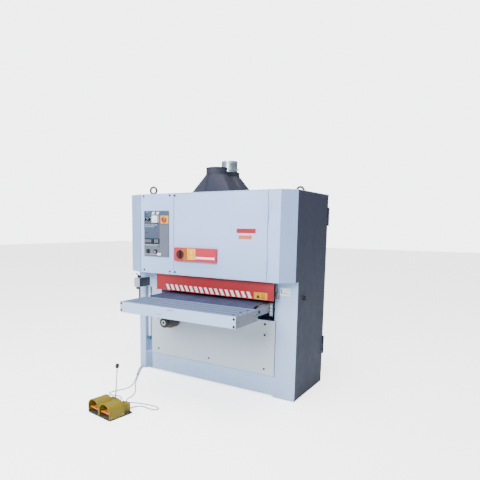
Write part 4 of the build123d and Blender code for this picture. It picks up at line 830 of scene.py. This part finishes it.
# ---------------------------------------------------------------- finishes of the CAD nodes
CAD_FINISH = {
    COVER_PAINT: ("left_column", "right_column", "base_frame"),
    PANEL_PAINT: ("lower_front_panel",),
    LIGHT_PAINT: ("hood_panels", "hood_roof", "control_panel", "front_door"),
    SLATE_PAINT: ("side_door",),
    RED_PAINT: ("infeed_guard",),
    HOOD_PAINT: ("dust_hoods",),
    TABLE_PAINT: ("extension_tables",),
    ZINC: ("duct_stub",),
    STEEL: ("lift_screws", "upper_roller_1", "upper_roller_2", "carrying_rod"),
    DULL_STEEL: ("pressure_shoes", "lift_chain", "conveyor_frame", "hinge_pins"),
    FORGED: ("eyebolts",),
    DARK_CASTING: ("lift_jacks", "head_bearings", "main_motor", "motor_pulley", "feed_motor",
                   "head_frame", "air_unit"),
    BROWN_CASTING: ("lift_gearbox",),
    MAROON_PLASTIC: ("main_switch_knob",),
    BLACK_PLASTIC: ("door_lock_1", "door_lock_2", "side_door_knob", "selector_1",
                    "selector_2", "cover_screws", "setting_lever", "handwheel", "feed_up_button",
                    "feed_down_button"),
    BLUE_PLASTIC: ("start_button",),
    RED_PLASTIC: ("emergency_stop_button",),
    SWITCH_RED: ("main_switch_box",),
    FASCIA_BLUE: ("control_fascia",),
    ROLLER_RUBBER: ("contact_roller_1", "contact_roller_2", "feed_roller_front", "feed_roller_back",
                    "drive_belts"),
    ABRASIVE: ("abrasive_belts",),
    BELT_FACE: ("feed_belt",),
    PIPE_PLASTIC: ("niche_pipe",),
    YELLOW_PAINT: ("pedal_covers",),
    BLACK_RUBBER: ("pedal_base",),
    ORANGE_PLASTIC: ("treadle_left", "treadle_right"),
}
for finish, names in CAD_FINISH.items():
    for name in names:
        nodes[name].data.materials.clear()
        nodes[name].data.materials.append(finish)


def refinish(node, finish, inside):
    """Give part of a CAD node its own finish, chosen by where its faces are."""
    mesh = nodes[node].data
    mesh.materials.append(finish)
    last = len(mesh.materials) - 1
    for face in mesh.polygons:
        if inside(face.center, face.normal):
            face.material_index = last


def fascia_zone(x0, x1, z0, z1):
    """A test for faces that stand out of the fascia inside a rectangle measured from its low left corner."""
    def inside(c, n):
        """Whether a face with this centre and normal stands in the rectangle."""
        x = c.x - FASCIA_LO[0]
        z = c.z - FASCIA_LO[2]
        return x0 < x < x1 and z0 < z < z1 and c.y < FASCIA_FACE - 0.0002
    return inside


ROD_GRIP_Z = 0.376                # the rod's black end starts here
PIPE_FITTING_Z = 0.3735           # the fitting at the pipe's foot ends here
AIR_BOX_Z = (0.9395, 1.0355)
AIR_MIDDLE = (AIR_LO[0] + AIR_HI[0]) / 2
TABLE_MIDDLE = (TABLE_LO[0] + TABLE_HI[0]) / 2
LAMP_ROW_Z = 0.415                # the fascia's lamps lie above this, from its low edge
refinish("carrying_rod", BLACK_RUBBER, lambda c, n: c.z > ROD_GRIP_Z)
refinish("niche_pipe", TEAL_FITTING, lambda c, n: c.z < PIPE_FITTING_Z)
refinish("air_unit", PALE_BOX,
         lambda c, n: AIR_BOX_Z[0] < c.z < AIR_BOX_Z[1] and abs(c.x - AIR_MIDDLE) < 0.038 and n.x < 0.5)
refinish("hinge_pins", LIGHT_PAINT, lambda c, n: c.y < HOOD_FRONT + 0.037 and c.x > 0.6)
refinish("hinge_pins", SLATE_PAINT, lambda c, n: c.x > RIGHT - 0.045)
refinish("control_fascia", LENS_WHITE, fascia_zone(0.109, 0.144, LAMP_ROW_Z, 1.0))
refinish("control_fascia", LENS_BEIGE, fascia_zone(0.164, 0.204, LAMP_ROW_Z, 1.0))
refinish("control_fascia", WHITE_PLASTIC, fascia_zone(0.125, 0.196, 0.335, LAMP_ROW_Z))
refinish("control_fascia", BLACK_PLASTIC, fascia_zone(0.0, 0.204, 0.125, 0.185))
refinish("hood_panels", SLATE_PAINT, lambda c, n: c.x > RIGHT - 0.0005 and n.x > 0.9)
# the bevelled corner faces take the darker copy of the paint: painted shade
refinish("hood_panels", SHADED_BEVEL_PAINT, lambda c, n: abs(n.x) > 0.25 and n.y < -0.25)
refinish("right_column", SLATE_PAINT, lambda c, n: c.x > RIGHT - 0.0045 and n.x > 0.9)
refinish("pedal_base", STEEL, lambda c, n: c.z > 0.0105)
refinish("extension_tables", TABLE_END_PAINT, lambda c, n: abs(n.x) > 0.9 and abs(c.x - TABLE_MIDDLE) > 0.6)
refinish("extension_tables", TABLE_TOP_PAINT, lambda c, n: n.z > 0.9)


# ---------------------------------------------------------------- placed faces and sets of pieces
def plates(name, body, finish, view, items, round_by=0.0):
    """One piece of several thin plates on a face: each is x0, x1, y0, y1, z0, z1 in that view."""
    bm = bmesh.new()
    for item in items:
        add_plate(bm, view, *item, round_by=round_by)
    return finish_mesh(name, bm, finish, body)


def turned_set(name, body, finish, spots, profile, steps):
    """One piece of several equal turned shapes at placed views."""
    bm = bmesh.new()
    for view in spots:
        add_turned(bm, view, profile, steps)
    return finish_mesh(name, bm, finish, body)


def screw_set(name, body, finish, spots, maker, **sizes):
    """Fasteners of one kind at placed views."""
    bm = bmesh.new()
    for view in spots:
        maker(bm, view, **sizes)
    return finish_mesh(name, bm, finish, body)


# each face is measured from the low left corner of its own part
fascia = at(FRONT_VIEW, (FASCIA_LO[0], FASCIA_FACE, FASCIA_LO[2]))
cover = at(FRONT_VIEW, (COVER_LO[0], HOOD_FRONT, COVER_LO[2]))
door = at(FRONT_VIEW, (DOOR_LO[0], HOOD_FRONT, DOOR_LO[2]))
switch = at(FRONT_VIEW, SWITCH_LO)
guard = at(FRONT_VIEW, (GUARD_LO[0], GUARD_FACE, GUARD_LO[2]))
lower_panel = at(FRONT_VIEW, PANEL_LO)
right_post = at(FRONT_VIEW, (RIGHT_COLUMN_LO[0], BASE_FRONT, 0))
left_post = at(FRONT_VIEW, (COLUMN_LO[0], BASE_FRONT, 0))
rail = at(FRONT_VIEW, TABLE_LO)
table_end = at(RIGHT_VIEW, (TABLE_HI[0], TABLE_LO[1], TABLE_LO[2]))
air_box = at(FRONT_VIEW, (AIR_LO[0], AIR_LO[1], AIR_HI[2]))
back_view = at(BACK_VIEW, (0, BACK, 0))
left_view = at(LEFT_VIEW, (LEFT, 0, 0))

# ---------------------------------------------------------------- control fascia
START_SPOT = (0.035, 0.433)
LAMP_SPOTS = ((0.127, 0.435), (0.184, 0.435))
SELECTOR_SPOTS = ((0.023, 0.376), (0.073, 0.376))
STOP_SPOT = (0.266, 0.373)
JOG_SPOTS = ((0.052, 0.053), (0.151, 0.051))
FASCIA_WIDE = 0.320
FASCIA_TALL = 0.460
RIM = 0.0025
LAMP_OUT = 0.012                  # the lamps' bodies stand this far out

plates("fascia_right_field", "root", FASCIA_GREY, fascia,
       [(0.205, 0.316, 0.004, 0.327, 0, 0.0006), (0.004, 0.200, 0.004, 0.097, 0, 0.0006)])
plates("fascia_upper_field", "root", INK_DARK, fascia,
       [(0.004, 0.049, 0.409, 0.456, 0, 0.0004), (0.004, 0.094, 0.353, 0.401, 0, 0.0004)])


def broken_rules(lines):
    """Rows of short bars of uneven length: each row is its height, start, end and thickness."""
    bars = []
    for z, x, end, tall in lines:
        while x < end:
            run = random.uniform(0.006, 0.022)
            bars.append((x, min(x + run, end), z, z + tall, 0.0006, 0.001))
            x += run + random.uniform(0.004, 0.009)
    return bars


random.seed(5)
plates("fascia_rules", "root", INK_LIGHT, fascia,
       broken_rules([(0.317, 0.014, 0.174, 0.005), (0.300, 0.018, 0.134, 0.004), (0.116, 0.012, 0.189, 0.006),
                     (0.106, 0.018, 0.164, 0.003), (0.021, 0.012, 0.182, 0.004)]))
plates("fascia_small_marks", "root", INK_DARK, fascia,
       [(0.022, 0.039, 0.237, 0.247, 0.0002, 0.001), (0.044, 0.054, 0.237, 0.247, 0.0002, 0.001)])
plates("fascia_red_marks", "root", INK_RED, fascia,
       [(0.166, 0.182, 0.231, 0.253, 0.0002, 0.001), (0.092, 0.098, 0.237, 0.247, 0.0002, 0.001)])
plates("fascia_white_tag", "root", INK_WHITE, fascia, [(0.172, 0.218, 0.013, 0.039, 0.0006, 0.0018)])
plates("fascia_rim", "root", DULL_STEEL, fascia,
       [(0, FASCIA_WIDE, 0, RIM, 0, 0.0012), (0, FASCIA_WIDE, FASCIA_TALL - RIM, FASCIA_TALL, 0, 0.0012),
        (0, RIM, RIM, FASCIA_TALL - RIM, 0, 0.0012),
        (FASCIA_WIDE - RIM, FASCIA_WIDE, RIM, FASCIA_TALL - RIM, 0, 0.0012)])

bm = bmesh.new()
for spot in (START_SPOT, *LAMP_SPOTS):
    add_turned(bm, on(fascia, *spot), [(0.0150, 0), (0.0195, 0), (0.0195, 0.003), (0.0175, 0.0048),
                                       (0.0150, 0.0048), (0.0150, 0)], 40)
for spot in SELECTOR_SPOTS:
    add_turned(bm, on(fascia, *spot), [(0.0168, 0), (0.0205, 0), (0.0205, 0.002), (0.0190, 0.0038),
                                       (0.0168, 0.0038), (0.0168, 0)], 40)
finish_mesh("control_bezels", bm, STEEL, "root")
turned_set("lamp_domes", "root", LENS_WHITE, [on(fascia, *spot, LAMP_OUT) for spot in LAMP_SPOTS],
           [(0.0139, 0), (0.0136, 0.002), (0.0115, 0.0046), (0.0075, 0.0062), (0, 0.0068)], 40)
for index, (x, z) in enumerate(SELECTOR_SPOTS, 1):
    plates(f"selector_{index}_pointer", f"selector_{index}", INK_WHITE, fascia,
           [(x - 0.0012, x + 0.0012, z + 0.002, z + 0.014, 0.0201, 0.0206)])
plates("stop_backing", "root", LABEL_YELLOW, fascia, [(0.215, 0.315, 0.334, 0.412, 0, 0.0022)],
       round_by=0.0006)
turned_set("stop_collar", "root", BLACK_PLASTIC, [on(fascia, *STOP_SPOT, 0.0022)],
           [(0.0225, 0), (0.0225, 0.0015), (0.0165, 0.0022), (0.0125, 0.0022), (0.0125, 0)], 48)
stop_head = turned_set("stop_mushroom", "emergency_stop_button", RED_PLASTIC,
                       [on(fascia, *STOP_SPOT, 0.0085)],
                       [(0, 0.0), (0.0215, 0.0), (0.0270, 0.003), (0.0278, 0.008), (0.0262, 0.0125),
                        (0.0215, 0.0160), (0.0120, 0.0185), (0, 0.0190)], 56)
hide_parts("emergency_stop_button")
plates("display_window", "root", INK_WHITE, fascia,
       [(0.132, 0.189, 0.367, 0.407, 0.0318, 0.0326)], round_by=0.0003)
plates("display_rows", "root", INK_LIGHT, fascia,
       [(0.138, 0.158, 0.351, 0.359, 0.0318, 0.0324), (0.164, 0.183, 0.351, 0.359, 0.0318, 0.0324)])
keys = [(0.012 + 0.023 * k, 0.030 + 0.023 * k, 0.143, 0.173, 0.0078, 0.0112) for k in range(4)]
keys += [(0.138 + 0.029 * k, 0.162 + 0.029 * k, 0.141, 0.175, 0.0078, 0.0105) for k in range(2)]
plates("keypad_keys", "root", FASCIA_GREY, fascia, keys, round_by=0.0012)
plates("jog_frames", "root", BLACK_PLASTIC, fascia,
       [(x - 0.022, x + 0.022, z - 0.022, z + 0.022, 0.0006, 0.0030) for x, z in JOG_SPOTS], round_by=0.001)
plates("jog_up_mark", "feed_down_button", INK_WHITE, fascia, [(0.147, 0.155, 0.041, 0.059, 0.0134, 0.0140)])

# ---------------------------------------------------------------- main switch
plates("switch_amber_part", "front_door", AMBER_RING, switch,
       [(0.113, 0.157, 0.0045, 0.1275, 0.0, 0.0035)], round_by=0.001)
plates("switch_yellow_field", "front_door", LABEL_YELLOW, switch,
       [(0.162, 0.254, 0.026, 0.116, 0.0, 0.0016)], round_by=0.0005)
plates("switch_pale_frame", "front_door", LABEL_PALE, switch,
       [(0.162, 0.169, 0.019, 0.123, 0.0, 0.0021), (0.247, 0.254, 0.019, 0.123, 0.0, 0.0021),
        (0.169, 0.247, 0.116, 0.123, 0.0, 0.0021), (0.169, 0.247, 0.019, 0.026, 0.0, 0.0021),
        (0.199, 0.217, 0.065, 0.105, 0.0016, 0.0024), (0.187, 0.229, 0.037, 0.051, 0.0016, 0.0024)])
plates("switch_pale_strip", "front_door", INK_WHITE, switch, [(0.258, 0.471, 0.029, 0.049, 0.0, 0.0012)])
turned_set("switch_ring", "front_door", AMBER_RING, [on(switch, 0.077, 0.066)],
           [(0.0445, 0), (0.0515, 0), (0.0515, 0.003), (0.0490, 0.0055), (0.0445, 0.0055), (0.0445, 0)], 64)

# ---------------------------------------------------------------- guard
STRIPES = 17
STRIPE_FROM = 0.148
STRIPE_PITCH = 0.0588
STRIPE_WIDE = 0.032
STRIPE_LEAN = -0.027
STRIPE_LOW = 0.008
STRIPE_HIGH = 0.064
GUARD_WIDE = GUARD_HI[0] - GUARD_LO[0]
bm = bmesh.new()
for k in range(STRIPES):
    x = STRIPE_FROM + k * STRIPE_PITCH
    add_outline(bm, guard, [(x, STRIPE_LOW), (x + STRIPE_WIDE, STRIPE_LOW),
                            (x + STRIPE_WIDE + STRIPE_LEAN, STRIPE_HIGH), (x + STRIPE_LEAN, STRIPE_HIGH)],
                0, 0.0005)
finish_mesh("guard_stripes", bm, INK_WHITE, "infeed_guard")
plates("guard_label", "infeed_guard", LABEL_YELLOW, guard, [(1.140, 1.275, 0.002, 0.068, 0, 0.0007)])
bm = bmesh.new()
add_outline(bm, guard, [(1.164, 0.017), (1.202, 0.017), (1.183, 0.049)], 0.0007, 0.0012)
for k in range(4):
    low = 0.016 + 0.011 * k
    add_plate(bm, guard, 1.214, 1.258 - 0.006 * (k % 2), low, low + 0.004, 0.0007, 0.0011)
finish_mesh("guard_label_print", bm, BLACK_PLASTIC, "infeed_guard")
plates("guard_lower_lip", "infeed_guard", RED_PAINT, guard,
       [(0.0005, GUARD_WIDE - 0.0005, 0.0005, 0.006, -0.0005, 0.0022)], round_by=0.0008)

# ---------------------------------------------------------------- door badge, column label, screws
plates("badge_bar", "front_door", INK_RED, door, [(0.708, 0.901, 0.417, 0.458, 0, 0.0006)])
plates("badge_bar_small", "front_door", INK_PEACH, door, [(0.731, 0.863, 0.364, 0.397, 0, 0.0006)])
plates("column_label", "root", INK_WHITE, right_post, [(0.003, 0.100, 0.972, 1.041, 0, 0.0006)])
print_marks = ((0.012, 0.020, 0.990, 1.030), (0.020, 0.040, 0.990, 0.997), (0.048, 0.054, 0.982, 1.008),
               (0.062, 0.094, 0.984, 0.988), (0.062, 0.086, 0.994, 0.998), (0.068, 0.090, 1.018, 1.022))
plates("column_label_print", "root", INK_DARK, right_post, [(*mark, 0.0006, 0.0010) for mark in print_marks])

screws = [on(lower_panel, x, z) for x, z in
          ((0.096, 0.392), (0.096, 0.056), (1.364, 0.483), (1.364, 0.381), (1.364, 0.056),
           (0.748, 0.056), (0.748, 0.496))]
screws += [on(cover, x, z) for x, z in ((0.045, 0.774), (0.382, 0.774), (0.047, 0.024), (0.382, 0.024))]
cover_heads = screw_set("cover_screw_heads", "root", BLACK_PLASTIC, screws, add_cap_screw, radius=0.0095,
                        head=0.0052)
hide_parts("cover_screws")

# ---------------------------------------------------------------- tables: bolts, marks, adjusters
screw_set("rail_screws", "table", BLACK_PLASTIC,
          [on(rail, x, z) for x, z in ((0.014, 0.085), (0.014, 0.022), (1.216, 0.077), (1.216, 0.016))],
          add_cap_screw, radius=0.0105, head=0.0055)
top_spots = [at(TOP_VIEW, (TABLE_HI[0] - 0.050, TABLE_LO[1] + y, TABLE_HI[2])) for y in (0.053, 0.167, 0.289)]
screw_set("table_top_screws", "table", BLACK_PLASTIC, top_spots, add_cap_screw, radius=0.0125, head=0.004)
plates("rail_marks", "table", INK_DARK, rail,
       [(0.432, 0.454, 0.029, 0.033, 0, 0.0005), (0.460, 0.488, 0.030, 0.0345, 0, 0.0005),
        (0.555, 0.582, 0.076, 0.081, 0, 0.0005), (0.588, 0.620, 0.077, 0.0815, 0, 0.0005)])
end_spots = [on(table_end, y, z) for y, z in
             ((0.037, 0.042), (0.297, 0.057), (0.332, 0.057), (1.647, 0.057), (1.787, 0.057))]
screw_set("table_end_screws", "table", DULL_STEEL, end_spots, add_hex_bolt, across=0.016, head=0.007,
          washer=0.014)
# thin black plates where the end plate's slots are: painted shade inside the slots, with no hole cut
plates("table_end_slot_shade", "table", BLACK_PLASTIC, table_end,
       [(0.287, 0.342, 0.050, 0.064, 0, 0.0006), (0.357, 0.375, 0.050, 0.064, 0, 0.0006)])
adjusters = [at(FRONT_VIEW, (TABLE_HI[0] - 0.0005, TABLE_LO[1] + 0.645, TABLE_LO[2] + up))
             for up in (0.028, 0.058, 0.088)]
turned_set("adjuster_bushes", "table", WHITE_PLASTIC, adjusters,
           [(0.0062, 0), (0.0098, 0), (0.0098, 0.0035), (0.0088, 0.0045), (0.0062, 0.0045), (0.0062, 0)], 32)

# ---------------------------------------------------------------- handwheel: dial with ticks, hub and grips
TICKS = 40
GRIPS = 18
wheel = ((WHEEL_LO[0] + WHEEL_HI[0]) / 2, WHEEL_LO[1], (WHEEL_LO[2] + WHEEL_HI[2]) / 2)
dial = at(FRONT_VIEW, wheel)
turned_set("dial_ring", "handwheel", WHITE_PLASTIC, [dial],
           [(0.0135, 0), (0.0268, 0), (0.0268, 0.0012), (0.0135, 0.0016), (0.0135, 0)], 64)
bm = bmesh.new()
add_turned(bm, dial, [(0, 0), (0.0130, 0), (0.0130, 0.0022), (0.0105, 0.0034), (0, 0.0034)], 48)
for k in range(TICKS):
    spoke = dial @ Matrix.Rotation(2 * math.pi * k / TICKS, 4, "Z")
    add_plate(bm, spoke, -0.0003, 0.0003, 0.0225 if k % 5 else 0.0200, 0.0262, 0.0012, 0.0016)
finish_mesh("dial_hub_and_ticks", bm, BLACK_PLASTIC, "handwheel")
bm = bmesh.new()
for k in range(GRIPS):
    lump = on(dial, 0, 0, -0.015) @ Matrix.Rotation(2 * math.pi * k / GRIPS, 4, "Z")
    add_plate(bm, lump, -0.0035, 0.0035, 0.0500, 0.0540, -0.008, 0.008, round_by=0.0015)
finish_mesh("handwheel_grips", bm, BLACK_PLASTIC, "handwheel")

# ---------------------------------------------------------------- dust hoods and duct stub
HOOD_REACH = 0.115                # from a hood's middle to its front foot
NECK_RADIUS = 0.1015
NECK_TOP = DUCT_HI[2]
front_y = DUCT_LO[1] + HOOD_REACH
rear_y = (STUB_LO[1] + STUB_HI[1]) / 2
hoods = bmesh.new()
bands = bmesh.new()
for head_y, top in ((front_y, NECK_TOP), (rear_y, NECK_TOP - 0.024)):
    foot = head_y - HOOD_REACH - 0.002
    add_plate(hoods, TOP_VIEW, DUCT_LO[0] - 0.012, DUCT_HI[0] + 0.012, foot - 0.006, foot + 0.004,
              ROOF_TOP - 0.001, ROOF_TOP + 0.004, round_by=0.001)
    for z in (NECK_TOP - 0.056, top - 0.004):
        add_turned(bands, at(TOP_VIEW, (0, head_y, z)),
                   [(NECK_RADIUS, -0.004), (NECK_RADIUS + 0.003, -0.003), (NECK_RADIUS + 0.0035, 0),
                    (NECK_RADIUS + 0.003, 0.003), (NECK_RADIUS, 0.004), (NECK_RADIUS, -0.004)], 72)
    low = Vector((-0.060, head_y - HOOD_REACH, ROOF_TOP))
    high = Vector((-0.030, head_y - 0.0985, NECK_TOP - 0.061))
    add_tube(hoods, [low.lerp(high, k / 12) + Vector((0, -0.0015, 0)) for k in range(13)], 0.0032, 8)
finish_mesh("hood_seams", hoods, HOOD_PAINT, "root")
finish_mesh("hood_neck_bands", bands, HOOD_PAINT, "root")
turned_set("hood_rivets", "root", DULL_STEEL,
           [at(FRONT_VIEW, (-0.2 + k * 0.05, front_y - 0.121, ROOF_TOP + 0.0075)) for k in range(9)],
           [(0.004, 0), (0.0036, 0.0012), (0, 0.002)], 12)
stub = bmesh.new()
for below in (0.132, 0.116, 0.017):
    add_turned(stub, at(TOP_VIEW, (0, rear_y, STUB_HI[2] - below)),
               [(0.0795, -0.004), (0.0825, 0), (0.0795, 0.004), (0.0795, -0.004)], 72)
add_plate(stub, at(TOP_VIEW, (0, rear_y, STUB_HI[2])), -0.0835, -0.0790, -0.004, 0.004, -0.110, -0.002,
          round_by=0.001)
finish_mesh("stub_beads", stub, ZINC, "root")

# ---------------------------------------------------------------- door seals and seam shade, painted panel edge shadow, groove shade, painted niche shade, catch
SEAL_AND_SHADE_HALF = 0.002
DOOR_EDGE = DOOR_HI[0] - 0.0073   # the seam on the hinge side
# black rubber seals in the door seams, 4 mm wide and set up to the face, so they also stand for the painted
# shade in the seams
seals_and_seam_shade = [(x - SEAL_AND_SHADE_HALF, x + SEAL_AND_SHADE_HALF, low, high, -0.0005, 0.0003) for x, low, high in
         ((COVER_HI[0] + 0.0005, DOOR_LO[2] + 0.001, DOOR_HI[2] - 0.001),
          (DOOR_EDGE, DOOR_LO[2] + 0.001, DOOR_HI[2] - 0.001),
          (COVER_LO[0], COVER_LO[2] - 0.002, COVER_HI[2] + 0.002))]
plates("door_seals_and_seam_shade", "root", BLACK_RUBBER, at(FRONT_VIEW, (0, HOOD_FRONT, 0)), seals_and_seam_shade)
panel_wide = PANEL_HI[0] - PANEL_LO[0]
panel_tall = PANEL_HI[2] - PANEL_LO[2]
# dark strips along the lower panel's bottom and right edges: painted shadow lines at its edges
plates("panel_edge_painted_shadow", "root", BLACK_RUBBER, at(FRONT_VIEW, (PANEL_LO[0], BASE_FRONT, PANEL_LO[2])),
       [(0, panel_wide + 0.0035, -0.004, 0.0002, 0, 0.0015),
        (panel_wide - 0.0002, panel_wide + 0.0042, -0.004, panel_tall, 0, 0.0015)])
# wide dark strips laid on the table top along its grooves: painted shade of the grooves, made wide enough to
# show
SLAT_PITCH = 0.3797 / 5
GROOVE_SHADE_HALF = 0.012
grooves = []
for k in range(1, 5):
    y = TABLE_LO[1] + SLAT_PITCH * k
    grooves.append((TABLE_LO[0] + 0.012, TABLE_HI[0] - 0.012, y - GROOVE_SHADE_HALF, y + GROOVE_SHADE_HALF,
                    TABLE_HI[2] - 0.0002, TABLE_HI[2] + 0.0004))
plates("table_groove_shade_strips", "table", GROOVE_SHADE_RUBBER, TOP_VIEW, grooves)
# a flat darker blue plate below the niche: painted shade, so the recess seems to run on down the column
plates("niche_foot_painted_shade", "root", NICHE_SHADE_PAINT, left_post, [(0.080, 0.177, 0.022, 0.196, 0, 0.0012)])
bm = bmesh.new()
add_turned(bm, on(guard, 0.008, 0.006, 0.001), [(0, 0), (0.0055, 0), (0.0055, 0.014), (0, 0.014)], 20)
add_turned(bm, on(guard, 0.008, 0.006, 0.015),
           [(0, 0), (0.008, 0.001), (0.0112, 0.006), (0.0105, 0.013), (0.006, 0.0175), (0, 0.0185)], 28)
finish_mesh("guard_catch", bm, WHITE_PLASTIC, "infeed_guard")

# ---------------------------------------------------------------- lifting eyes: a collar, a neck and a ring
EYE_IN = (0.250, 0.125)           # from the hood's corners
RING_RADIUS = 0.033
RING_BAR = 0.0105
ring_along = Vector((0.94, 0.34, 0)).normalized()
bm = bmesh.new()
for x, y in ((HOOD_LO[0] + EYE_IN[0], HOOD_LO[1] + EYE_IN[1]),
             (HOOD_HI[0] - EYE_IN[0], HOOD_HI[1] - EYE_IN[1])):
    add_turned(bm, at(TOP_VIEW, (x, y, HOOD_HI[2])),
               [(0, 0), (0.021, 0), (0.021, 0.004), (0.018, 0.009), (0.0125, 0.014), (0.0115, 0.022),
                (0, 0.022)], 40)
    loop = arc_points((x, y, HOOD_HI[2] + 0.050), RING_RADIUS, 0, 360, 40, ring_along, (0, 0, 1))
    add_ring(bm, loop[:-1], RING_BAR, 14)
lifting_eyes = finish_mesh("lifting_eyes", bm, FORGED, "root")
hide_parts("eyebolts")

# ---------------------------------------------------------------- hinges and side panels
turned_set("side_hinge_screws", "side_door", STEEL,
           [at(RIGHT_VIEW, (RIGHT + 0.003, BACK - 0.031, z)) for z in (0.322, 0.368, 1.622, 1.668)],
           [(0.0045, 0), (0.004, 0.0015), (0, 0.0022)], 16)
turned_set("front_hinge_screws", "front_door", STEEL,
           [at(FRONT_VIEW, (DOOR_HI[0] - 0.026, HOOD_FRONT - 0.003, DOOR_LO[2] + up))
            for up in (0.113, 0.157, 0.527, 0.569)],
           [(0.0042, 0), (0.0038, 0.0014), (0, 0.002)], 16)
knob_middle = (RIGHT, (SIDE_KNOB_LO[1] + SIDE_KNOB_HI[1]) / 2, (SIDE_KNOB_LO[2] + SIDE_KNOB_HI[2]) / 2)
plates("side_knob_plate", "side_door", BLACK_PLASTIC, at(RIGHT_VIEW, knob_middle),
       [(-0.026, 0.026, -0.027, 0.027, 0, 0.0002)])

# ---------------------------------------------------------------- back and left side: covers and screws
SHEET = 0.0022                    # the covers' thickness
plates("back_cover", "root", COVER_PAINT, back_view,
       [(-0.70, 0.70, 1.15, 1.86, 0, SHEET)], round_by=0.0009)
plates("lower_back_cover", "root", COVER_PAINT, back_view,
       [(-0.66, 0.56, 0.15, 0.69, 0, SHEET)], round_by=0.0009)
spots = [on(back_view, x, z, SHEET) for x in (-0.67, -0.22, 0.22, 0.67) for z in (1.18, 1.83)]
spots += [on(back_view, x, z, SHEET) for x in (-0.63, -0.05, 0.53) for z in (0.18, 0.66)]
screw_set("back_screws", "root", BLACK_PLASTIC, spots, add_cap_screw, radius=0.0065, head=0.0045)
plates("back_rating_plate", "root", STEEL, back_view, [(0.74, 0.86, 1.02, 1.08, 0, 0.0010)])
louvres = [(-0.30, 0.30, 0.34 + 0.022 * k, 0.346 + 0.022 * k, 0.002, 0.0075) for k in range(9)]
plates("back_louvres", "root", COVER_PAINT, back_view, louvres, round_by=0.0018)
plates("left_side_cover", "root", COVER_PAINT, left_view,
       [(-0.30, 0.26, 0.22, 1.02, 0, SHEET), (-0.30, 0.34, 1.16, 1.85, 0, SHEET)],
       round_by=0.0009)
spots = [at(LEFT_VIEW, (LEFT - SHEET, y, z)) for y in (-0.23, 0.27) for z in (0.25, 0.99)]
spots += [at(LEFT_VIEW, (LEFT - SHEET, y, z)) for y in (-0.31, 0.27) for z in (1.19, 1.82)]
screw_set("left_screws", "root", BLACK_PLASTIC, spots, add_cap_screw, radius=0.0065, head=0.0045)

# ---------------------------------------------------------------- air unit: dial, glass, screws and lid
dial_y = AIR_LO[1] + 0.087
dial_z = AIR_HI[2] - 0.069
turned_set("air_dial", "root", BLACK_PLASTIC, [at(LEFT_VIEW, (AIR_LO[0], dial_y, dial_z))],
           [(0, 0), (0.022, 0), (0.022, 0.004), (0.019, 0.006), (0, 0.006)], 40)
turned_set("air_dial_glass", "root", INK_WHITE, [at(LEFT_VIEW, (AIR_LO[0] - 0.006, dial_y, dial_z))],
           [(0, 0), (0.0175, 0), (0.0165, 0.0012), (0, 0.0016)], 40)
screw_set("air_box_screws", "root", STEEL,
          [on(air_box, x, z) for z in (-0.111, -0.032) for x in (0.007, 0.068)],
          add_cap_screw, radius=0.0035, head=0.002)
plates("air_box_lid", "root", PALE_BOX, air_box, [(0.013, 0.062, -0.104, -0.039, 0, 0.0018)], round_by=0.0008)

# ---------------------------------------------------------------- foot pedal
PEDAL = (Matrix.Translation((-0.287, -1.484, 0)) @ Matrix.Rotation(math.radians(-8), 4, "Z"))
ARCH_MIDDLE = 0.075               # from the pedal's middle to each treadle's
FLOOR_PLATE = 0.010
TREADLE_TILT = math.radians(-9)


def arch_line(half, tall, steps=25):
    """Half an outline of a cover's end: up one side, over a round crown, and down the other."""
    shoulder = tall - half * 0.72
    radius = (half * half + (tall - shoulder) ** 2) / (2 * (tall - shoulder))
    middle = tall - radius
    start = math.atan2(shoulder - middle, -half)
    end = math.atan2(shoulder - middle, half)
    points = [(-half, 0.0), (-half, shoulder)]
    for k in range(1, steps):
        turn = start + (end - start) * k / steps
        points.append((radius * math.cos(turn), middle + radius * math.sin(turn)))
    return points + [(half, shoulder), (half, 0.0)]


def pedal_arch(bm, centre, half, tall, y0, y1, wall):
    """A rolled rim round an arched pedal cover."""
    rings = []
    for y in (y0, y1):
        for row in (arch_line(half, tall), arch_line(half - wall, tall - wall)):
            rings.append([bm.verts.new(PEDAL @ Vector((centre + x, y, FLOOR_PLATE + z))) for x, z in row])
    oa, ia, ob, ib = rings
    for k in range(len(oa) - 1):
        bm.faces.new((oa[k], oa[k + 1], ia[k + 1], ia[k]))
        bm.faces.new((ob[k], ib[k], ib[k + 1], ob[k + 1]))
        bm.faces.new((oa[k], ob[k], ob[k + 1], oa[k + 1]))
        bm.faces.new((ia[k], ia[k + 1], ib[k + 1], ib[k]))
    for k in (0, -1):
        bm.faces.new((oa[k], ia[k], ib[k], ob[k]))


bm = bmesh.new()
for centre in (-ARCH_MIDDLE, ARCH_MIDDLE):
    pedal_arch(bm, centre, 0.0735, 0.1232, -0.1075, -0.099, 0.0075)
    pedal_arch(bm, centre, 0.0737, 0.1234, 0.020, 0.026, 0.0045)
finish_mesh("pedal_cover_rims", bm, YELLOW_PAINT, "root")
bm = bmesh.new()
for centre in (-ARCH_MIDDLE, ARCH_MIDDLE):
    for dx in (-0.036, 0.036):
        for dy in (0.058, 0.118):
            add_cap_screw(bm, on(PEDAL, centre + dx, dy, 0.080), radius=0.0045, head=0.003)
    for y in (-0.085, 0.030):
        for side in (-1, 1):
            turned_out = Matrix.Rotation(side * math.pi / 2, 4, "Y")
            add_turned(bm, on(PEDAL, centre + side * 0.073, y, 0.024) @ turned_out,
                       [(0.0045, 0), (0.004, 0.0014), (0, 0.002)], 16)
finish_mesh("pedal_screws", bm, STEEL, "root")
for label, centre in (("left", -ARCH_MIDDLE), ("right", ARCH_MIDDLE)):
    treadle = on(PEDAL, centre, 0.029, 0.026) @ Matrix.Rotation(TREADLE_TILT, 4, "X")
    ribs = [(-0.058, 0.058, -0.112 + 0.0115 * k, -0.1065 + 0.0115 * k, 0.0070, 0.0098) for k in range(9)]
    plates(f"{label}_treadle_ribs", f"{label}_treadle", ORANGE_PLASTIC, treadle, ribs,
           round_by=0.0009)

# ---------------------------------------------------------------- last lines
bpy.context.view_layer.update()
